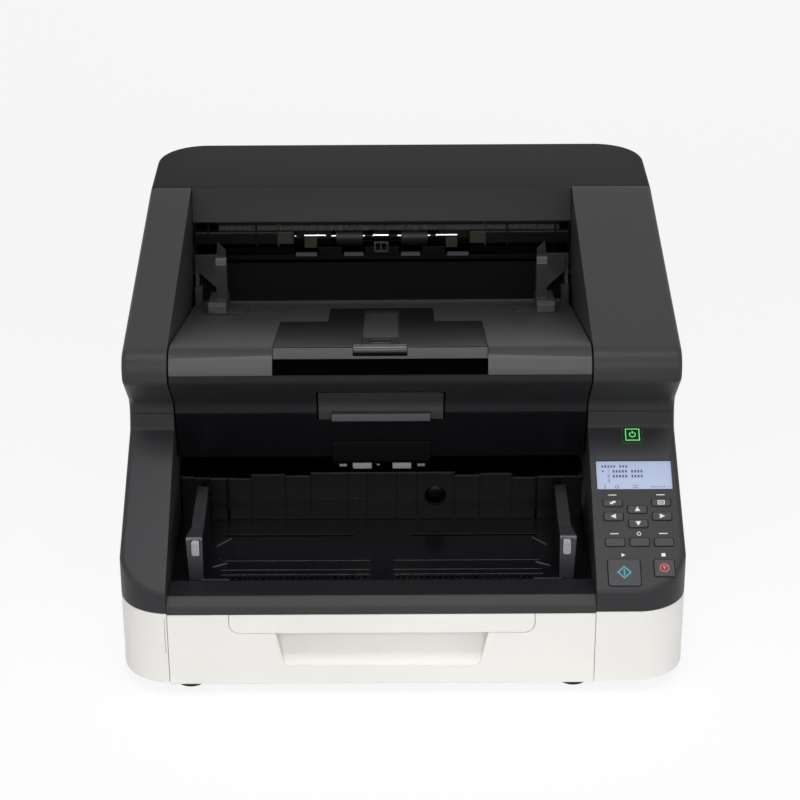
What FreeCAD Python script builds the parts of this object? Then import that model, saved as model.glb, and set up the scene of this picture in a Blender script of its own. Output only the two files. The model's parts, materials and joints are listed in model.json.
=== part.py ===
import FreeCAD, Part
import math
import os

# Production document scanner with a hinged upper unit, a lifting feed tray and a control panel.
# X runs to the right, the front faces minus Y, Z is up, and all sizes are in millimetres.
# While the pieces are modelled, y is measured back from the front face of the base.
# Each piece moves forward by half the depth when it is written.

# Overall body
depth = 527.0
height = 315.0
base_width = 486.0
upper_step = 3.0
upper_width = base_width - 2 * upper_step
foot_height = 12.0
front_corner_radius = 43.0
rear_corner_radius = 52.0
upper_corner_radius = rear_corner_radius - 1.7 * upper_step
wall = 2.6
seam_gap = 0.4
half_gap = seam_gap / 2

# Levels of the seams between the covers
base_seam_z = 79.6
waist_z = height - 114.5
top_seam_y = depth - 126.0
top_cover_low_z = height - 34.0

# The centre section between the two side covers
left_cover_width = 42.0
panel_width = 79.0
left_wall_x = -base_width / 2 + left_cover_width
right_wall_x = base_width / 2 - panel_width
side_gap = 1.5
centre_x = (left_wall_x + right_wall_x) / 2
centre_half = (right_wall_x - left_wall_x) / 2
centre_left_x = left_wall_x + side_gap
centre_right_x = right_wall_x - side_gap

# Side profile of the covers
nose_y = 100.0
nose_low_z = waist_z + 47.4
nose_radius = 19.0
chin_radius = 8.0
waist_y = 141.0
waist_top_z = waist_z + 9.7
waist_radius = 12.0
nose_edge_y = 117.0
nose_edge_z = height - 39.6
nose_seam_z = nose_edge_z - 20.4
top_blend_radius = 100.0
side_edge_radius = 5.0
rear_panel_inset = 55.0
rear_half = base_width / 2 - rear_panel_inset
rear_low_z = base_seam_z + seam_gap
upper_wall_rear_y = depth - 81.0
lower_wall_rear_y = 190.0

# Control panel slope, from the front edge up to just under the waist
panel_front_z = 99.5
panel_top_y = 139.5
panel_top_z = waist_z - 14.5
panel_slope = math.atan2(panel_top_z - panel_front_z, panel_top_y)
panel_length = math.hypot(panel_top_z - panel_front_z, panel_top_y)
panel_edge_radius = 5.0

# Front lip of the feed cavity
lip_low_z = base_seam_z - 1.0
lip_top_z = lip_low_z + 13.6
lip_face_z = lip_low_z + 8.0
lip_slope_y = 8.0
lip_rear_y = 35.3
lip_sheet = 2.5

# Feed tray that lifts the paper stack
tray_top_z = base_seam_z + 5.4
tray_sheet = 2.6
tray_front_y = 36.5
tray_rear_y = 156.5
tray_side_gap = 0.5
tray_skirt = 6.0
tray_line_width = 0.8
tray_line_depth = 0.4
tray_lines = (57.1, 65.5, 81.6)
centre_strip_width = 20.7
lift_arm_thickness = 1.6
lift_arm_height = 13.0
lift_arm_offset = centre_half - 43.5
lift_arm_root = 20.0
comb_count = 24
comb_pitch = 5.2
comb_width = 2.4
comb_front_y = 48.6
comb_rear_y = 54.8

# Wall behind the feed tray
feed_wall_y = 157.4
feed_wall_sheet = 3.0
feed_wall_low_z = 73.3
feed_wall_mid_z = 107.0
feed_wall_slot = 1.2
feed_wall_slot_depth = 1.4
arm_channel_top_z = 122.0
lens_radius = 9.3
lens_x = centre_x + 48.2
lens_z = 108.5
lens_cup = 0.7
lens_crown = 2.6

# Document guides on the feed tray
guide_inner = centre_half - 28.7
guide_width = 12.2
guide_shoulder = 14.4
guide_ridge = 9.9
guide_front_y = 46.8
guide_rear_y = 137.0
guide_tail_y = 143.0
guide_top_z = tray_top_z + 46.0
guide_shoulder_z = tray_top_z + 40.5
guide_brow_y = 50.2
guide_shell = 2.0
guide_foot_sheet = 1.4
guide_lift = 0.3
guide_travel = guide_inner - 35.8
guide_stem_y = 127.4
guide_stem_width = 14.0
guide_stem_sheet = 3.0
guide_stem_offset = guide_inner - 2.8
button_width = 6.8
button_height = 14.0
button_z = tray_top_z + 31.0
button_groove = 4.2
button_gap = 0.4
button_hole_depth = 6.4

# Feed tray extension that pulls out under the lip
strip_left_x = left_wall_x + 53.0
strip_right_x = right_wall_x - 52.0
strip_low_z = 60.2
strip_sheet = 3.0
strip_corner = 9.0
extension_z = 68.4
extension_sheet = 3.0
extension_rear_y = 205.0
slide_clearance = 0.3

# Finger recess in the front cover
recess_half_top = 92.0
recess_half_low = 83.6
recess_low_z = foot_height + 16.0
recess_depth = 18.0
recess_wall = 2.2
front_hang_z = foot_height - 2.0
front_top_z = lip_low_z - seam_gap
ledge_width = 6.0

# Eject tray on the upper unit
tray_slope = math.radians(15.2)
tray_corner_y = depth - 156.0
tray_wall_top_y = depth - 140.0
tray_wall_top_z = height - 72.0
tray_corner_u = (tray_corner_y - nose_edge_y) / math.cos(tray_slope)
eject_sheet = 2.6
wing_width = 22.0

# Extension plate and stopper in the eject tray
plate_half_width = 91.8
plate_depth = 8.2
plate_stand = 0.6
tab_half_width = 48.2
tab_length = tray_corner_u - 36.8
plate_length = tab_length - 85.5
tab_depth = 2.6
plate_gap = 0.5
plate_front_u = -8.6
plate_apron = 1.6
plate_apron_sheet = 4.0
lug_length = 5.0
lug_reach = 2.6
lug_top = -4.7
lug_low = -6.9
extension_travel = 120.0
pocket_front_u = 7.0
pocket_floor = 2.0
stopper_half_width = 15.6
stopper_length = 46.0
stopper_bed = -1.6
barrel_half_length = 22.9
barrel_radius = 4.0
barrel_u = -4.0
barrel_v = -2.2
barrel_pin_radius = 1.5
barrel_pin_length = 3.0
groove_length = tab_length - 15.4
hollow_length = 46.0

# Eject guides
eject_guide_offset = centre_half - 31.9
eject_guide_front_y = tray_corner_y - 71.0
eject_guide_top_z = nose_edge_z - 2.9
eject_guide_tip_z = nose_edge_z + 10.1
eject_foot_reach = 24.0
eject_foot_sheet = 1.4
eject_guide_travel = 60.0
eject_slot_y = tray_corner_y - 58.0
eject_slot_width = 3.2

# Open lever under the nose
lever_half_width = 54.8
lever_pivot_y = 127.0
lever_pivot_z = waist_z + 32.0
lever_top_z = waist_z + 29.1
lever_low_z = waist_z - 7.5
lever_sheet = 3.0
lever_gap = 1.8
lever_top_gap = 2.4
lever_ear_in = 5.0
nose_ear_gap = 1.0
lever_pin_radius = 2.5
ledge_half_width = 43.2
ear_sheet = 3.0

# Lower front panel of the upper unit
panel_low_y = 153.0
panel_low_z = 150.4
panel_tie_y = 184.0
panel_recess_half = centre_half - 14.9
panel_recess_edge = 5.1
panel_recess_radius = 10.0
panel_recess_depth = 1.2

# Paper path between the lower and the upper unit
path_front_y = 178.0
path_front_z = 134.5
path_slope = 0.04
path_rear_y = depth - 57.0
path_gap = 4.0
path_sheet = 1.6
turn_gap = 6.0

# Pickup block and rollers
pickup_half_width = 43.6
pickup_low_z = path_front_z + 9.4
pickup_top_z = pickup_low_z + 24.3
pickup_y = 163.0
pickup_z = pickup_low_z + 2.7
pick_radius = 11.0
pick_side_radius = 9.6
pick_middle_radius = 8.6
pickup_wall = 1.8
shaft_radius = 3.0
shaft_clearance = 0.05

# Hinge of the upper unit
hinge_y = depth - 139.0
hinge_z = height - 83.0
hinge_pin_radius = 4.0
ear_radius = 9.0
chassis_sheet = 1.6
chassis_gap = 2.3
chassis_left = centre_left_x + chassis_gap
chassis_right = centre_right_x - chassis_gap
turn_top_y = depth - 93.0
turn_top_z = height - 69.0

# Scan units and transport roller
lower_scan_front = 258.0
lower_scan_rear = 302.0
upper_scan_front = 303.0
upper_scan_rear = 348.0
scan_tray_clearance = 27.1
roller_y = 228.0
transport_radius = 10.0
transport_shaft_radius = 4.0
tyre_offsets = (-120.0, -42.0, 42.0, 120.0)
tyre_width = 24.0

# Side frames inside the side covers
frame_sheet = 1.6
frame_gap = 4.2
frame_left_x = left_wall_x - frame_gap
frame_right_x = right_wall_x + frame_gap

# Eject rollers and the frame that carries them
eject_y = depth - 114.0
eject_z = top_cover_low_z - 20.5
eject_radius = 10.0
eject_roller_offset = 31.6
eject_roller_width = 26.0
eject_plate_z = eject_z + 18.3
bar_front_y = eject_y - 21.0
bar_low_z = eject_z - 0.9
bar_high_z = eject_z + 11.9
bar_inner = 85.0
bar_outer = centre_half - 2.4
tab_z = eject_z - 10.9
frame_brackets = ((centre_x - 66.0, 34.0), (centre_x + 0.1, 14.0), (centre_x + 71.0, 31.0))
tab_places = ((centre_x - 83.5, centre_x - 62.5), (centre_x - 36.9, centre_x - 17.5),
              (centre_x + 18.2, centre_x + 37.3), (centre_x + 62.8, centre_x + 84.1))
brush_left_x = left_wall_x + 25.0
brush_right_x = right_wall_x - 11.0
brush_count = 48

# Rear cover, board, inlet and power supply
board_y = depth - 22.0
board_left_x = -rear_half + 18.0
board_right_x = board_left_x + 100.0
inlet_x = rear_half - 76.0
inlet_z = 112.0
usb_x = board_left_x + 50.0
usb_z = 128.0
screw_inset = 12.0
top_screw_z = top_cover_low_z - 15.0

# Keys on the control panel: x, distance up the slope, width, length
key_gap = 0.4
key_stand = 1.0
key_bevel = 0.5
key_flange = 0.7
key_corner = 1.3
small_key = (16.6, 8.0)
key_column = 20.9
panel_column_x = right_wall_x + 38.6
left_column_x = panel_column_x - key_column
right_column_x = panel_column_x + key_column
keys = {
    "job_key": (left_column_x, 86.3, small_key[0], 7.2),
    "menu_key": (right_column_x, 86.3, small_key[0], 7.2),
    "up_key": (panel_column_x, 79.7, small_key[0], small_key[1]),
    "left_key": (left_column_x, 72.8, small_key[0], small_key[1]),
    "right_key": (right_column_x, 72.8, small_key[0], small_key[1]),
    "down_key": (panel_column_x, 65.7, small_key[0], small_key[1]),
    "back_key": (left_column_x, 47.4, small_key[0], small_key[1]),
    "ok_key": (panel_column_x, 47.4, small_key[0], small_key[1]),
    "function_key": (right_column_x, 47.4, small_key[0], small_key[1]),
    "start_key": (panel_column_x - 14.6, 18.0, 27.6, 26.0),
    "stop_key": (panel_column_x + 19.7, 22.1, 17.4, 16.4),
    "power_key": (panel_column_x, panel_length - 8.6, 14.6, 13.6),
}

# Display window in the control panel
window_x = panel_column_x - 0.6
window_low = 100.3
window_high = 130.2
window_half = 32.8
window_slope_length = 7.0
window_sheet = 1.5

# Feet and bottom plate
foot_radius = 14.0
foot_offset = centre_half - 16.7
foot_front_y = 24.0
foot_rear_y = depth - 27.0
foot_stem_radius = 4.0
foot_chamfer = 1.5
plate_sheet = 1.5
plate_rim = 10.0
frame_floor_z = foot_height + plate_sheet + 0.2


# Small helpers

def vec(x, y, z):
    return FreeCAD.Vector(x, y, z)


def box(x0, x1, y0, y1, z0, z1):
    return Part.makeBox(x1 - x0, y1 - y0, z1 - z0, vec(x0, y0, z0))


def rod(axis, a, b, radius, low, high):
    # cylinder along x (a, b are y, z), along y (x, z) or along z (x, y)
    places = {"x": vec(low, a, b), "y": vec(a, low, b), "z": vec(a, b, low)}
    directions = {"x": vec(1, 0, 0), "y": vec(0, 1, 0), "z": vec(0, 0, 1)}
    return Part.makeCylinder(radius, high - low, places[axis], directions[axis])


def outline(corners, place):
    # closed wire through (a, b) or (a, b, radius) corners, with an arc at each radius
    count = len(corners)
    joints = []
    for index in range(count):
        here = corners[index]
        a, b = here[0], here[1]
        radius = here[2] if len(here) > 2 else 0.0
        if radius <= 0:
            joints.append(((a, b), None, (a, b)))
            continue
        before = corners[index - 1]
        after = corners[(index + 1) % count]
        ua, ub = before[0] - a, before[1] - b
        va, vb = after[0] - a, after[1] - b
        u_length = math.hypot(ua, ub)
        v_length = math.hypot(va, vb)
        ua, ub, va, vb = ua / u_length, ub / u_length, va / v_length, vb / v_length
        half = math.acos(max(-1.0, min(1.0, ua * va + ub * vb))) / 2
        reach = radius / math.tan(half)
        ma, mb = ua + va, ub + vb
        m_length = math.hypot(ma, mb)
        middle = radius / math.sin(half) - radius
        start = (a + ua * reach, b + ub * reach)
        end = (a + va * reach, b + vb * reach)
        joints.append((start, (a + ma / m_length * middle, b + mb / m_length * middle), end))
    edges = []
    for index in range(count):
        start, middle, end = joints[index]
        if middle is not None:
            edges.append(Part.Arc(place(*start), place(*middle), place(*end)).toShape())
        following = joints[(index + 1) % count][0]
        if math.hypot(following[0] - end[0], following[1] - end[1]) > 1e-6:
            edges.append(Part.LineSegment(place(*end), place(*following)).toShape())
    return Part.Wire(edges)


def prism(corners, axis, low, high):
    # solid with this outline, swept along x (corners y, z), y (corners x, z) or z (corners x, y)
    places = {
        "x": lambda a, b: vec(low, a, b),
        "y": lambda a, b: vec(a, low, b),
        "z": lambda a, b: vec(a, b, low),
    }
    directions = {"x": vec(high - low, 0, 0), "y": vec(0, high - low, 0), "z": vec(0, 0, high - low)}
    return Part.Face(outline(corners, places[axis])).extrude(directions[axis])


def thick(points, thickness):
    # closed corners of a bent sheet: the open line of points is one face, the sheet lies to its right
    offsets = []
    count = len(points)
    for index in range(count):
        a, b = points[index][0], points[index][1]
        normals = []
        for first, second in ((index - 1, index), (index, index + 1)):
            if first < 0 or second >= count:
                continue
            da = points[second][0] - points[first][0]
            db = points[second][1] - points[first][1]
            length = math.hypot(da, db)
            normals.append((db / length, -da / length))
        na = sum(n[0] for n in normals)
        nb = sum(n[1] for n in normals)
        scale = thickness / ((na * normals[0][0]) + (nb * normals[0][1]))
        radius = points[index][2] if len(points[index]) > 2 else 0.0
        if radius and len(normals) == 2:
            turn = normals[0][0] * normals[1][1] - normals[0][1] * normals[1][0]
            radius = max(radius - thickness if turn < 0 else radius + thickness, 0.2)
        offsets.append((a + na * scale, b + nb * scale, radius))
    return list(points) + offsets[::-1]


def bent(points, thickness, x0, x1):
    return prism(thick(points, thickness), "x", x0, x1)


def joined(solids):
    first = solids[0]
    return first.fuse(solids[1:]).removeSplitter() if len(solids) > 1 else first


def mirrored(shape, x):
    return shape.mirror(vec(x, 0, 0), vec(1, 0, 0))


# Outer bodies of the covers

def plan(half_width, front, back, front_radius, rear_radius):
    return [(-half_width, front, front_radius), (half_width, front, front_radius),
            (half_width, back, rear_radius), (-half_width, back, rear_radius)]


top_rise = (height - nose_edge_z) / (top_seam_y - nose_edge_y)
panel_rise = math.tan(panel_slope)


def upper_profile(extra=0.0):
    return [
        (waist_y, waist_z - extra),
        (waist_y, waist_top_z, waist_radius),
        (nose_y, nose_low_z, chin_radius),
        (nose_y, nose_edge_z - (nose_edge_y - nose_y) * top_rise, nose_radius),
        (top_seam_y, height, top_blend_radius),
        (depth, height),
        (depth, waist_z - extra),
    ]


def lower_profile(extra=0.0):
    return [
        (0.0, base_seam_z - extra),
        (0.0, panel_front_z),
        (panel_top_y, panel_top_z, panel_edge_radius),
        (waist_y, waist_z + extra),
        (depth, waist_z + extra),
        (depth, base_seam_z - extra),
    ]


def swept_profile(corners, half_width, inset):
    # the profile across the whole width, drawn in by the wall on every side
    face = Part.Face(outline(corners, lambda a, b: vec(-half_width, a, b)))
    if inset:
        face = Part.Face(face.makeOffset2D(-inset).OuterWire)
    return face.extrude(vec(2 * half_width, 0, 0))


def upper_body(inset=0.0):
    half = upper_width / 2 - inset
    profile = swept_profile(upper_profile(20.0 if inset else 0.0), half, inset)
    around = prism(plan(half, inset, depth - inset, front_corner_radius - inset,
                        upper_corner_radius - inset), "z", waist_z - 30, height + 1)
    return profile.common(around)


def lower_body(inset=0.0):
    # upright at the corners, with side walls that lean in a little towards the waist
    profile = swept_profile(lower_profile(20.0 if inset else 0.0), base_width, inset)
    low = base_seam_z - 30.0
    high = waist_z + 30.0
    around = prism(plan(base_width / 2 - inset, inset, depth - inset, front_corner_radius - inset,
                        rear_corner_radius - inset), "z", low, high)
    lean = upper_step / (waist_z - base_seam_z)
    foot = base_width / 2 - inset + 30.0 * lean
    head = foot - (high - low) * lean
    sides = prism([(-foot, low), (foot, low), (head, high), (-head, high)], "y", -1, depth + 1)
    return profile.common(around).common(sides)


def base_body(inset=0.0):
    extra = 1.0 if inset else 0.0
    return prism(plan(base_width / 2 - inset, inset, depth - inset, front_corner_radius - inset,
                      rear_corner_radius - inset), "z", foot_height - extra, base_seam_z + extra)


def rounded(body, radius, wanted):
    # fillets the edges whose middle point is wanted
    chain = []
    for edge in body.Edges:
        middle = edge.valueAt((edge.FirstParameter + edge.LastParameter) / 2)
        if wanted(edge, middle):
            chain.append(edge)
    return body.makeFillet(radius, chain)


def on_upper_side(edge, middle):
    flat = edge.BoundBox.XLength < 0.01 and middle.z > waist_z + 1
    upright = edge.BoundBox.YLength < 0.01 and edge.BoundBox.ZLength > 40
    at_rim = abs(middle.z - height) < 0.01 and middle.y > top_seam_y + 10
    return (flat and not upright) or at_rim


def on_panel_rim(edge, middle):
    level = panel_front_z + middle.y * panel_rise
    on_slope = abs(middle.z - level) < 0.4 and middle.y < panel_top_y - 3
    return on_slope


# Places on the sloping surfaces

def panel_point(w, v):
    # w runs up the control panel from its front edge, v stands off it
    y = w * math.cos(panel_slope) - v * math.sin(panel_slope)
    return y, panel_front_z + w * math.sin(panel_slope) + v * math.cos(panel_slope)


def tray_point(u, v):
    # u runs back down the eject tray from its crest, v stands off it
    y = nose_edge_y + u * math.cos(tray_slope) + v * math.sin(tray_slope)
    return y, nose_edge_z - u * math.sin(tray_slope) + v * math.cos(tray_slope)


def path_z(y):
    return path_front_z + (y - path_front_y) * path_slope


def slab(point, corners, low, high):
    # plate with these (x, b) corners that lies along a sloping surface
    wire = outline(corners, lambda a, b: vec(a, *point(b, low)))
    start = vec(0, *point(0.0, low))
    end = vec(0, *point(0.0, high))
    return Part.Face(wire).extrude(end - start)


def bar(point, corners, x0, x1):
    # prism across x with corners (b, v) on a sloping surface
    places = [point(corner[0], corner[1]) + tuple(corner[2:]) for corner in corners]
    return prism(places, "x", x0, x1)


def around_centre(half, low, high, radius=0.0):
    return rounded_corners(centre_x - half, centre_x + half, low, high, radius)


def rounded_corners(a0, a1, b0, b1, radius):
    return [(a0, b0, radius), (a1, b0, radius), (a1, b1, radius), (a0, b1, radius)]


def clipped_corners(a0, a1, b0, b1, clip):
    # rectangle with its four corners cut off
    return [(a0 + clip, b0), (a1 - clip, b0), (a1, b0 + clip), (a1, b1 - clip),
            (a1 - clip, b1), (a0 + clip, b1), (a0, b1 - clip), (a0, b0 + clip)]


# Covers

upper_outer = rounded(upper_body(), side_edge_radius, on_upper_side)
upper_shell = upper_outer.cut(upper_body(wall))
lower_outer = rounded(lower_body(), panel_edge_radius, on_panel_rim)
lower_shell = lower_outer.cut(lower_body(wall))
base_shell = base_body().cut(base_body(wall))
wide = base_width


def inner_wall(profile, inner_x, outer_x, rear):
    # flat wall of a side cover beside the centre section
    low = min(inner_x, outer_x)
    high = max(inner_x, outer_x)
    face = Part.Face(outline(profile, lambda a, b: vec(low, a, b)))
    return face.extrude(vec(high - low, 0, 0)).common(box(low, high, -1, rear, 0, height + 1))


def side_region(inner_x, outer_x, split_x, low, high):
    # everything outside the centre section, and the rear corner beyond the rear cover
    x0, x1 = sorted((inner_x, outer_x))
    front = box(x0, x1, -1, depth - 20, low, high)
    x0, x1 = sorted((split_x, outer_x))
    return front.fuse(box(x0, x1, depth - 20.01, depth + 1, low, high))


def upper_cover(side):
    inner_x = left_wall_x if side < 0 else right_wall_x
    region = side_region(inner_x, side * wide, side * (rear_half + seam_gap), waist_z + half_gap, height + 1)
    skin = upper_shell.common(region)
    plate = inner_wall(upper_profile(), inner_x, inner_x + side * wall, upper_wall_rear_y)
    hole = rod("x", hinge_y, hinge_z, hinge_pin_radius + 3.0, inner_x - 9, inner_x + 9)
    cover = skin.fuse(plate)
    cap = box(-wide, wide, top_seam_y - half_gap, depth + 1, top_cover_low_z - half_gap, height + 1)
    below = box(-wide, wide, 0, depth, waist_z - 9, waist_z + half_gap)
    return cover.cut([cap, hole, below])


def lower_cover(side):
    inner_x = left_wall_x if side < 0 else right_wall_x
    low = base_seam_z + seam_gap
    region = side_region(inner_x, side * wide, side * (rear_half + seam_gap), low, waist_z - half_gap)
    skin = lower_shell.common(region)
    plate = inner_wall(lower_profile(), inner_x, inner_x + side * wall, lower_wall_rear_y)
    inside = region.fuse(box(inner_x - 9, inner_x + 9, 0, depth, low, waist_z - half_gap))
    cover = skin.fuse(plate.common(inside))
    return cover


left_upper_cover = upper_cover(-1)
right_upper_cover = upper_cover(1)
left_lower_cover = lower_cover(-1)
panel_cover = lower_cover(1)


def make_top_cover():
    cap = box(-wide, wide, top_seam_y + half_gap, depth + 1, top_cover_low_z + half_gap, height + 1)
    skin = upper_shell.common(cap)
    # the front face is set back between the side covers
    front = [(top_seam_y - 4.6, top_cover_low_z + half_gap), (top_seam_y + half_gap, height - 0.4)]
    face = bent(front, wall, left_wall_x + seam_gap, right_wall_x - seam_gap)
    floor = box(left_wall_x + seam_gap, right_wall_x - seam_gap, top_seam_y - 4.4, top_seam_y + 12,
                top_cover_low_z + half_gap, top_cover_low_z + half_gap + 1.8)
    return skin.fuse([face, floor]).removeSplitter()


top_cover = make_top_cover()


# White base covers

def base_cover(side):
    front_x = left_wall_x if side < 0 else right_wall_x
    x0, x1 = sorted((front_x, side * wide))
    front = box(x0, x1, -1, 60, 0, 100)
    x0, x1 = sorted((side * half_gap, side * wide))
    region = front.fuse(box(x0, x1, 59.99, depth + 1, 0, 100))
    ledge = base_body(wall - 0.01).cut(base_body(wall + ledge_width))
    ledge = ledge.common(box(-wide, wide, 60, depth, base_seam_z - 2.4, base_seam_z))
    cover = base_shell.fuse(ledge).common(region)
    if side < 0:
        slot = box(left_wall_x - 2.2, left_wall_x - 1.6, -1, 1.0, 41, base_seam_z - 5)
        cover = cover.cut(slot)
    return cover


front_left_x = left_wall_x + seam_gap
front_right_x = right_wall_x - seam_gap
strip_centre_x = (strip_right_x + strip_left_x) / 2


def recess_solid(grow, front):
    # the finger recess, wider at the top than at the bottom and running out to the front
    low = recess_low_z - grow * 1.4
    corners = [(strip_centre_x - recess_half_top - grow, strip_low_z + 6),
               (strip_centre_x - recess_half_low - grow, low, 5.0),
               (strip_centre_x + recess_half_low + grow, low, 5.0),
               (strip_centre_x + recess_half_top + grow, strip_low_z + 6)]
    shape = prism(corners, "y", front, recess_depth + grow)
    profile = [(front, low - (4.0 if front < 0 else 0.0)), (recess_depth + grow, strip_low_z - 6.0 - grow,
                                                            8.0),
               (recess_depth + grow, strip_low_z + 5), (front, strip_low_z + 5)]
    return shape.common(prism(profile, "x", -wide, wide))


def make_front_base_cover():
    panel = box(front_left_x, front_right_x, 0, wall, front_hang_z, front_top_z)
    rib_low = foot_height + plate_rim + 0.4
    ends = [box(front_left_x, front_left_x + 2.2, wall - 0.5, 12, rib_low, front_top_z - 3),
            box(front_right_x - 2.2, front_right_x, wall - 0.5, 12, rib_low, front_top_z - 3)]
    ribs = []
    for x in (left_wall_x + 31, left_wall_x + 46, right_wall_x - 44, right_wall_x - 29):
        ribs.append(box(x, x + 1.8, wall - 0.5, 9, rib_low, strip_low_z - 4))
    strip_hole = prism(rounded_corners(strip_left_x - seam_gap, strip_right_x + seam_gap,
                                       strip_low_z - seam_gap,
                                       front_top_z + 40, strip_corner + seam_gap), "y", -1,
                                       strip_sheet + seam_gap)
    body = panel.fuse(ends + ribs).cut(strip_hole)
    body = body.fuse(recess_solid(recess_wall, 0.8)).cut(recess_solid(0.0, -2.0))
    return body.cut(box(-wide, wide, -3, depth, strip_low_z - seam_gap, strip_low_z + 9).common(strip_hole))


left_base_cover = base_cover(-1)
right_base_cover = base_cover(1)
front_base_cover = make_front_base_cover()


# Bottom plate and feet

def foot_places():
    for x in (centre_x - foot_offset, centre_x + foot_offset):
        for y in (foot_front_y, foot_rear_y):
            yield x, y


def make_bottom_plate():
    outer = plan(base_width / 2 - wall - 0.4, wall + 0.4, depth - wall - 0.4, front_corner_radius - wall,
                 rear_corner_radius - wall)
    inner = plan(base_width / 2 - wall - 0.4 - plate_sheet, wall + 0.4 + plate_sheet,
                 depth - wall - 0.4 - plate_sheet, front_corner_radius - wall - plate_sheet,
                 rear_corner_radius - wall - plate_sheet)
    plate = prism(outer, "z", foot_height, foot_height + plate_rim)
    plate = plate.cut(prism(inner, "z", foot_height + plate_sheet, foot_height + plate_rim + 1))
    holes = [rod("z", x, y, foot_stem_radius + 0.1, 0, 40) for x, y in foot_places()]
    for row in range(5):
        for column in range(3):
            x = 40 + column * 40
            y = 300 + row * 14
            holes.append(box(x, x + 32, y, y + 4, foot_height - 1, foot_height + plate_sheet + 1))
    return plate.cut(holes)


def make_feet():
    feet = []
    for x, y in foot_places():
        disc = rod("z", x, y, foot_radius, 0, foot_height)
        disc = disc.makeChamfer(foot_chamfer, [edge for edge in disc.Edges if edge.BoundBox.ZMax < 0.1])
        feet.append(disc.fuse(rod("z", x, y, foot_stem_radius, foot_height - 1, foot_height + 5)))
    return Part.makeCompound(feet)


bottom_plate = make_bottom_plate()
rubber_feet = make_feet()


# Feed tray extension and the frame it slides in

def make_feed_tray_extension():
    strip = prism([(strip_left_x, strip_low_z, strip_corner), (strip_right_x, strip_low_z, strip_corner),
                   (strip_right_x, front_top_z), (strip_left_x, front_top_z)], "y", 0.0, strip_sheet)
    plate = box(strip_left_x + 8, strip_right_x - 8, strip_sheet - 0.5, extension_rear_y,
                extension_z, extension_z + extension_sheet)
    ribs = []
    step = (strip_right_x - strip_left_x - 60) / 5
    for index in range(6):
        x = strip_left_x + 30 + index * step
        ribs.append(box(x - 1, x + 1, 12, extension_rear_y - 10, extension_z + extension_sheet - 0.2,
                        extension_z + extension_sheet + 0.8))
    gussets = []
    for x in (strip_left_x + 20, strip_right_x - 22):
        gussets.append(prism([(strip_sheet - 0.5, strip_low_z + 1), (strip_sheet + 1, strip_low_z + 1),
                              (strip_sheet + 9, extension_z + 0.5), (strip_sheet - 0.5, extension_z + 0.5)],
                             "x", x, x + 2))
    return joined([strip, plate] + ribs + gussets)


def make_tray_frame():
    floor_top = extension_z - slide_clearance
    left = frame_left_x + 0.2
    right = frame_right_x - 0.2
    parts = [box(left, right, recess_depth + 5, extension_rear_y + 8, floor_top - 2.0, floor_top)]
    for x0, x1 in ((left, left + frame_sheet), (right - frame_sheet, right)):
        parts.append(box(x0, x1, recess_depth + 5, extension_rear_y + 8, floor_top - 2.0, lip_low_z - 1))
    rail_top = extension_z + extension_sheet + slide_clearance
    for side, edge in ((-1, strip_left_x + 8), (1, strip_right_x - 8)):
        near = edge + side * slide_clearance
        x0, x1 = sorted((near, near + side * 3.0))
        parts.append(box(x0, x1, recess_depth + 5, extension_rear_y + 8, floor_top - 0.5, rail_top + 1.4))
        x0, x1 = sorted((near - side * 3.0, near + side * 1.0))
        parts.append(box(x0, x1, recess_depth + 5, extension_rear_y + 8, rail_top, rail_top + 1.4))
    frame = joined(parts)
    holes = []
    for index in range(6):
        x = centre_x - 110 + index * 44
        holes.append(box(x - 15, x + 15, 60, 110, floor_top - 3, floor_top + 1))
    return frame.cut(holes)


feed_tray_extension = make_feed_tray_extension()
tray_frame = make_tray_frame()


# Front lip

def make_front_lip():
    line = [(0.0, lip_low_z), (0.0, lip_face_z, 3.0), (lip_slope_y, lip_top_z, 3.0),
            (lip_rear_y, lip_top_z, 1.5), (lip_rear_y, lip_low_z + 3)]
    lip = bent(line, lip_sheet, front_left_x, front_right_x)
    ends = []
    for x in (front_left_x, front_right_x - 1.8):
        ends.append(prism([(1, lip_face_z - 2), (1, lip_face_z), (lip_slope_y, lip_top_z - 1),
                           (lip_rear_y - 1, lip_top_z - 1), (lip_rear_y - 1, lip_low_z + 3)], "x", x,
                           x + 1.8))
    return joined([lip] + ends)


front_lip = make_front_lip()


# Elevator tray

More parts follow.
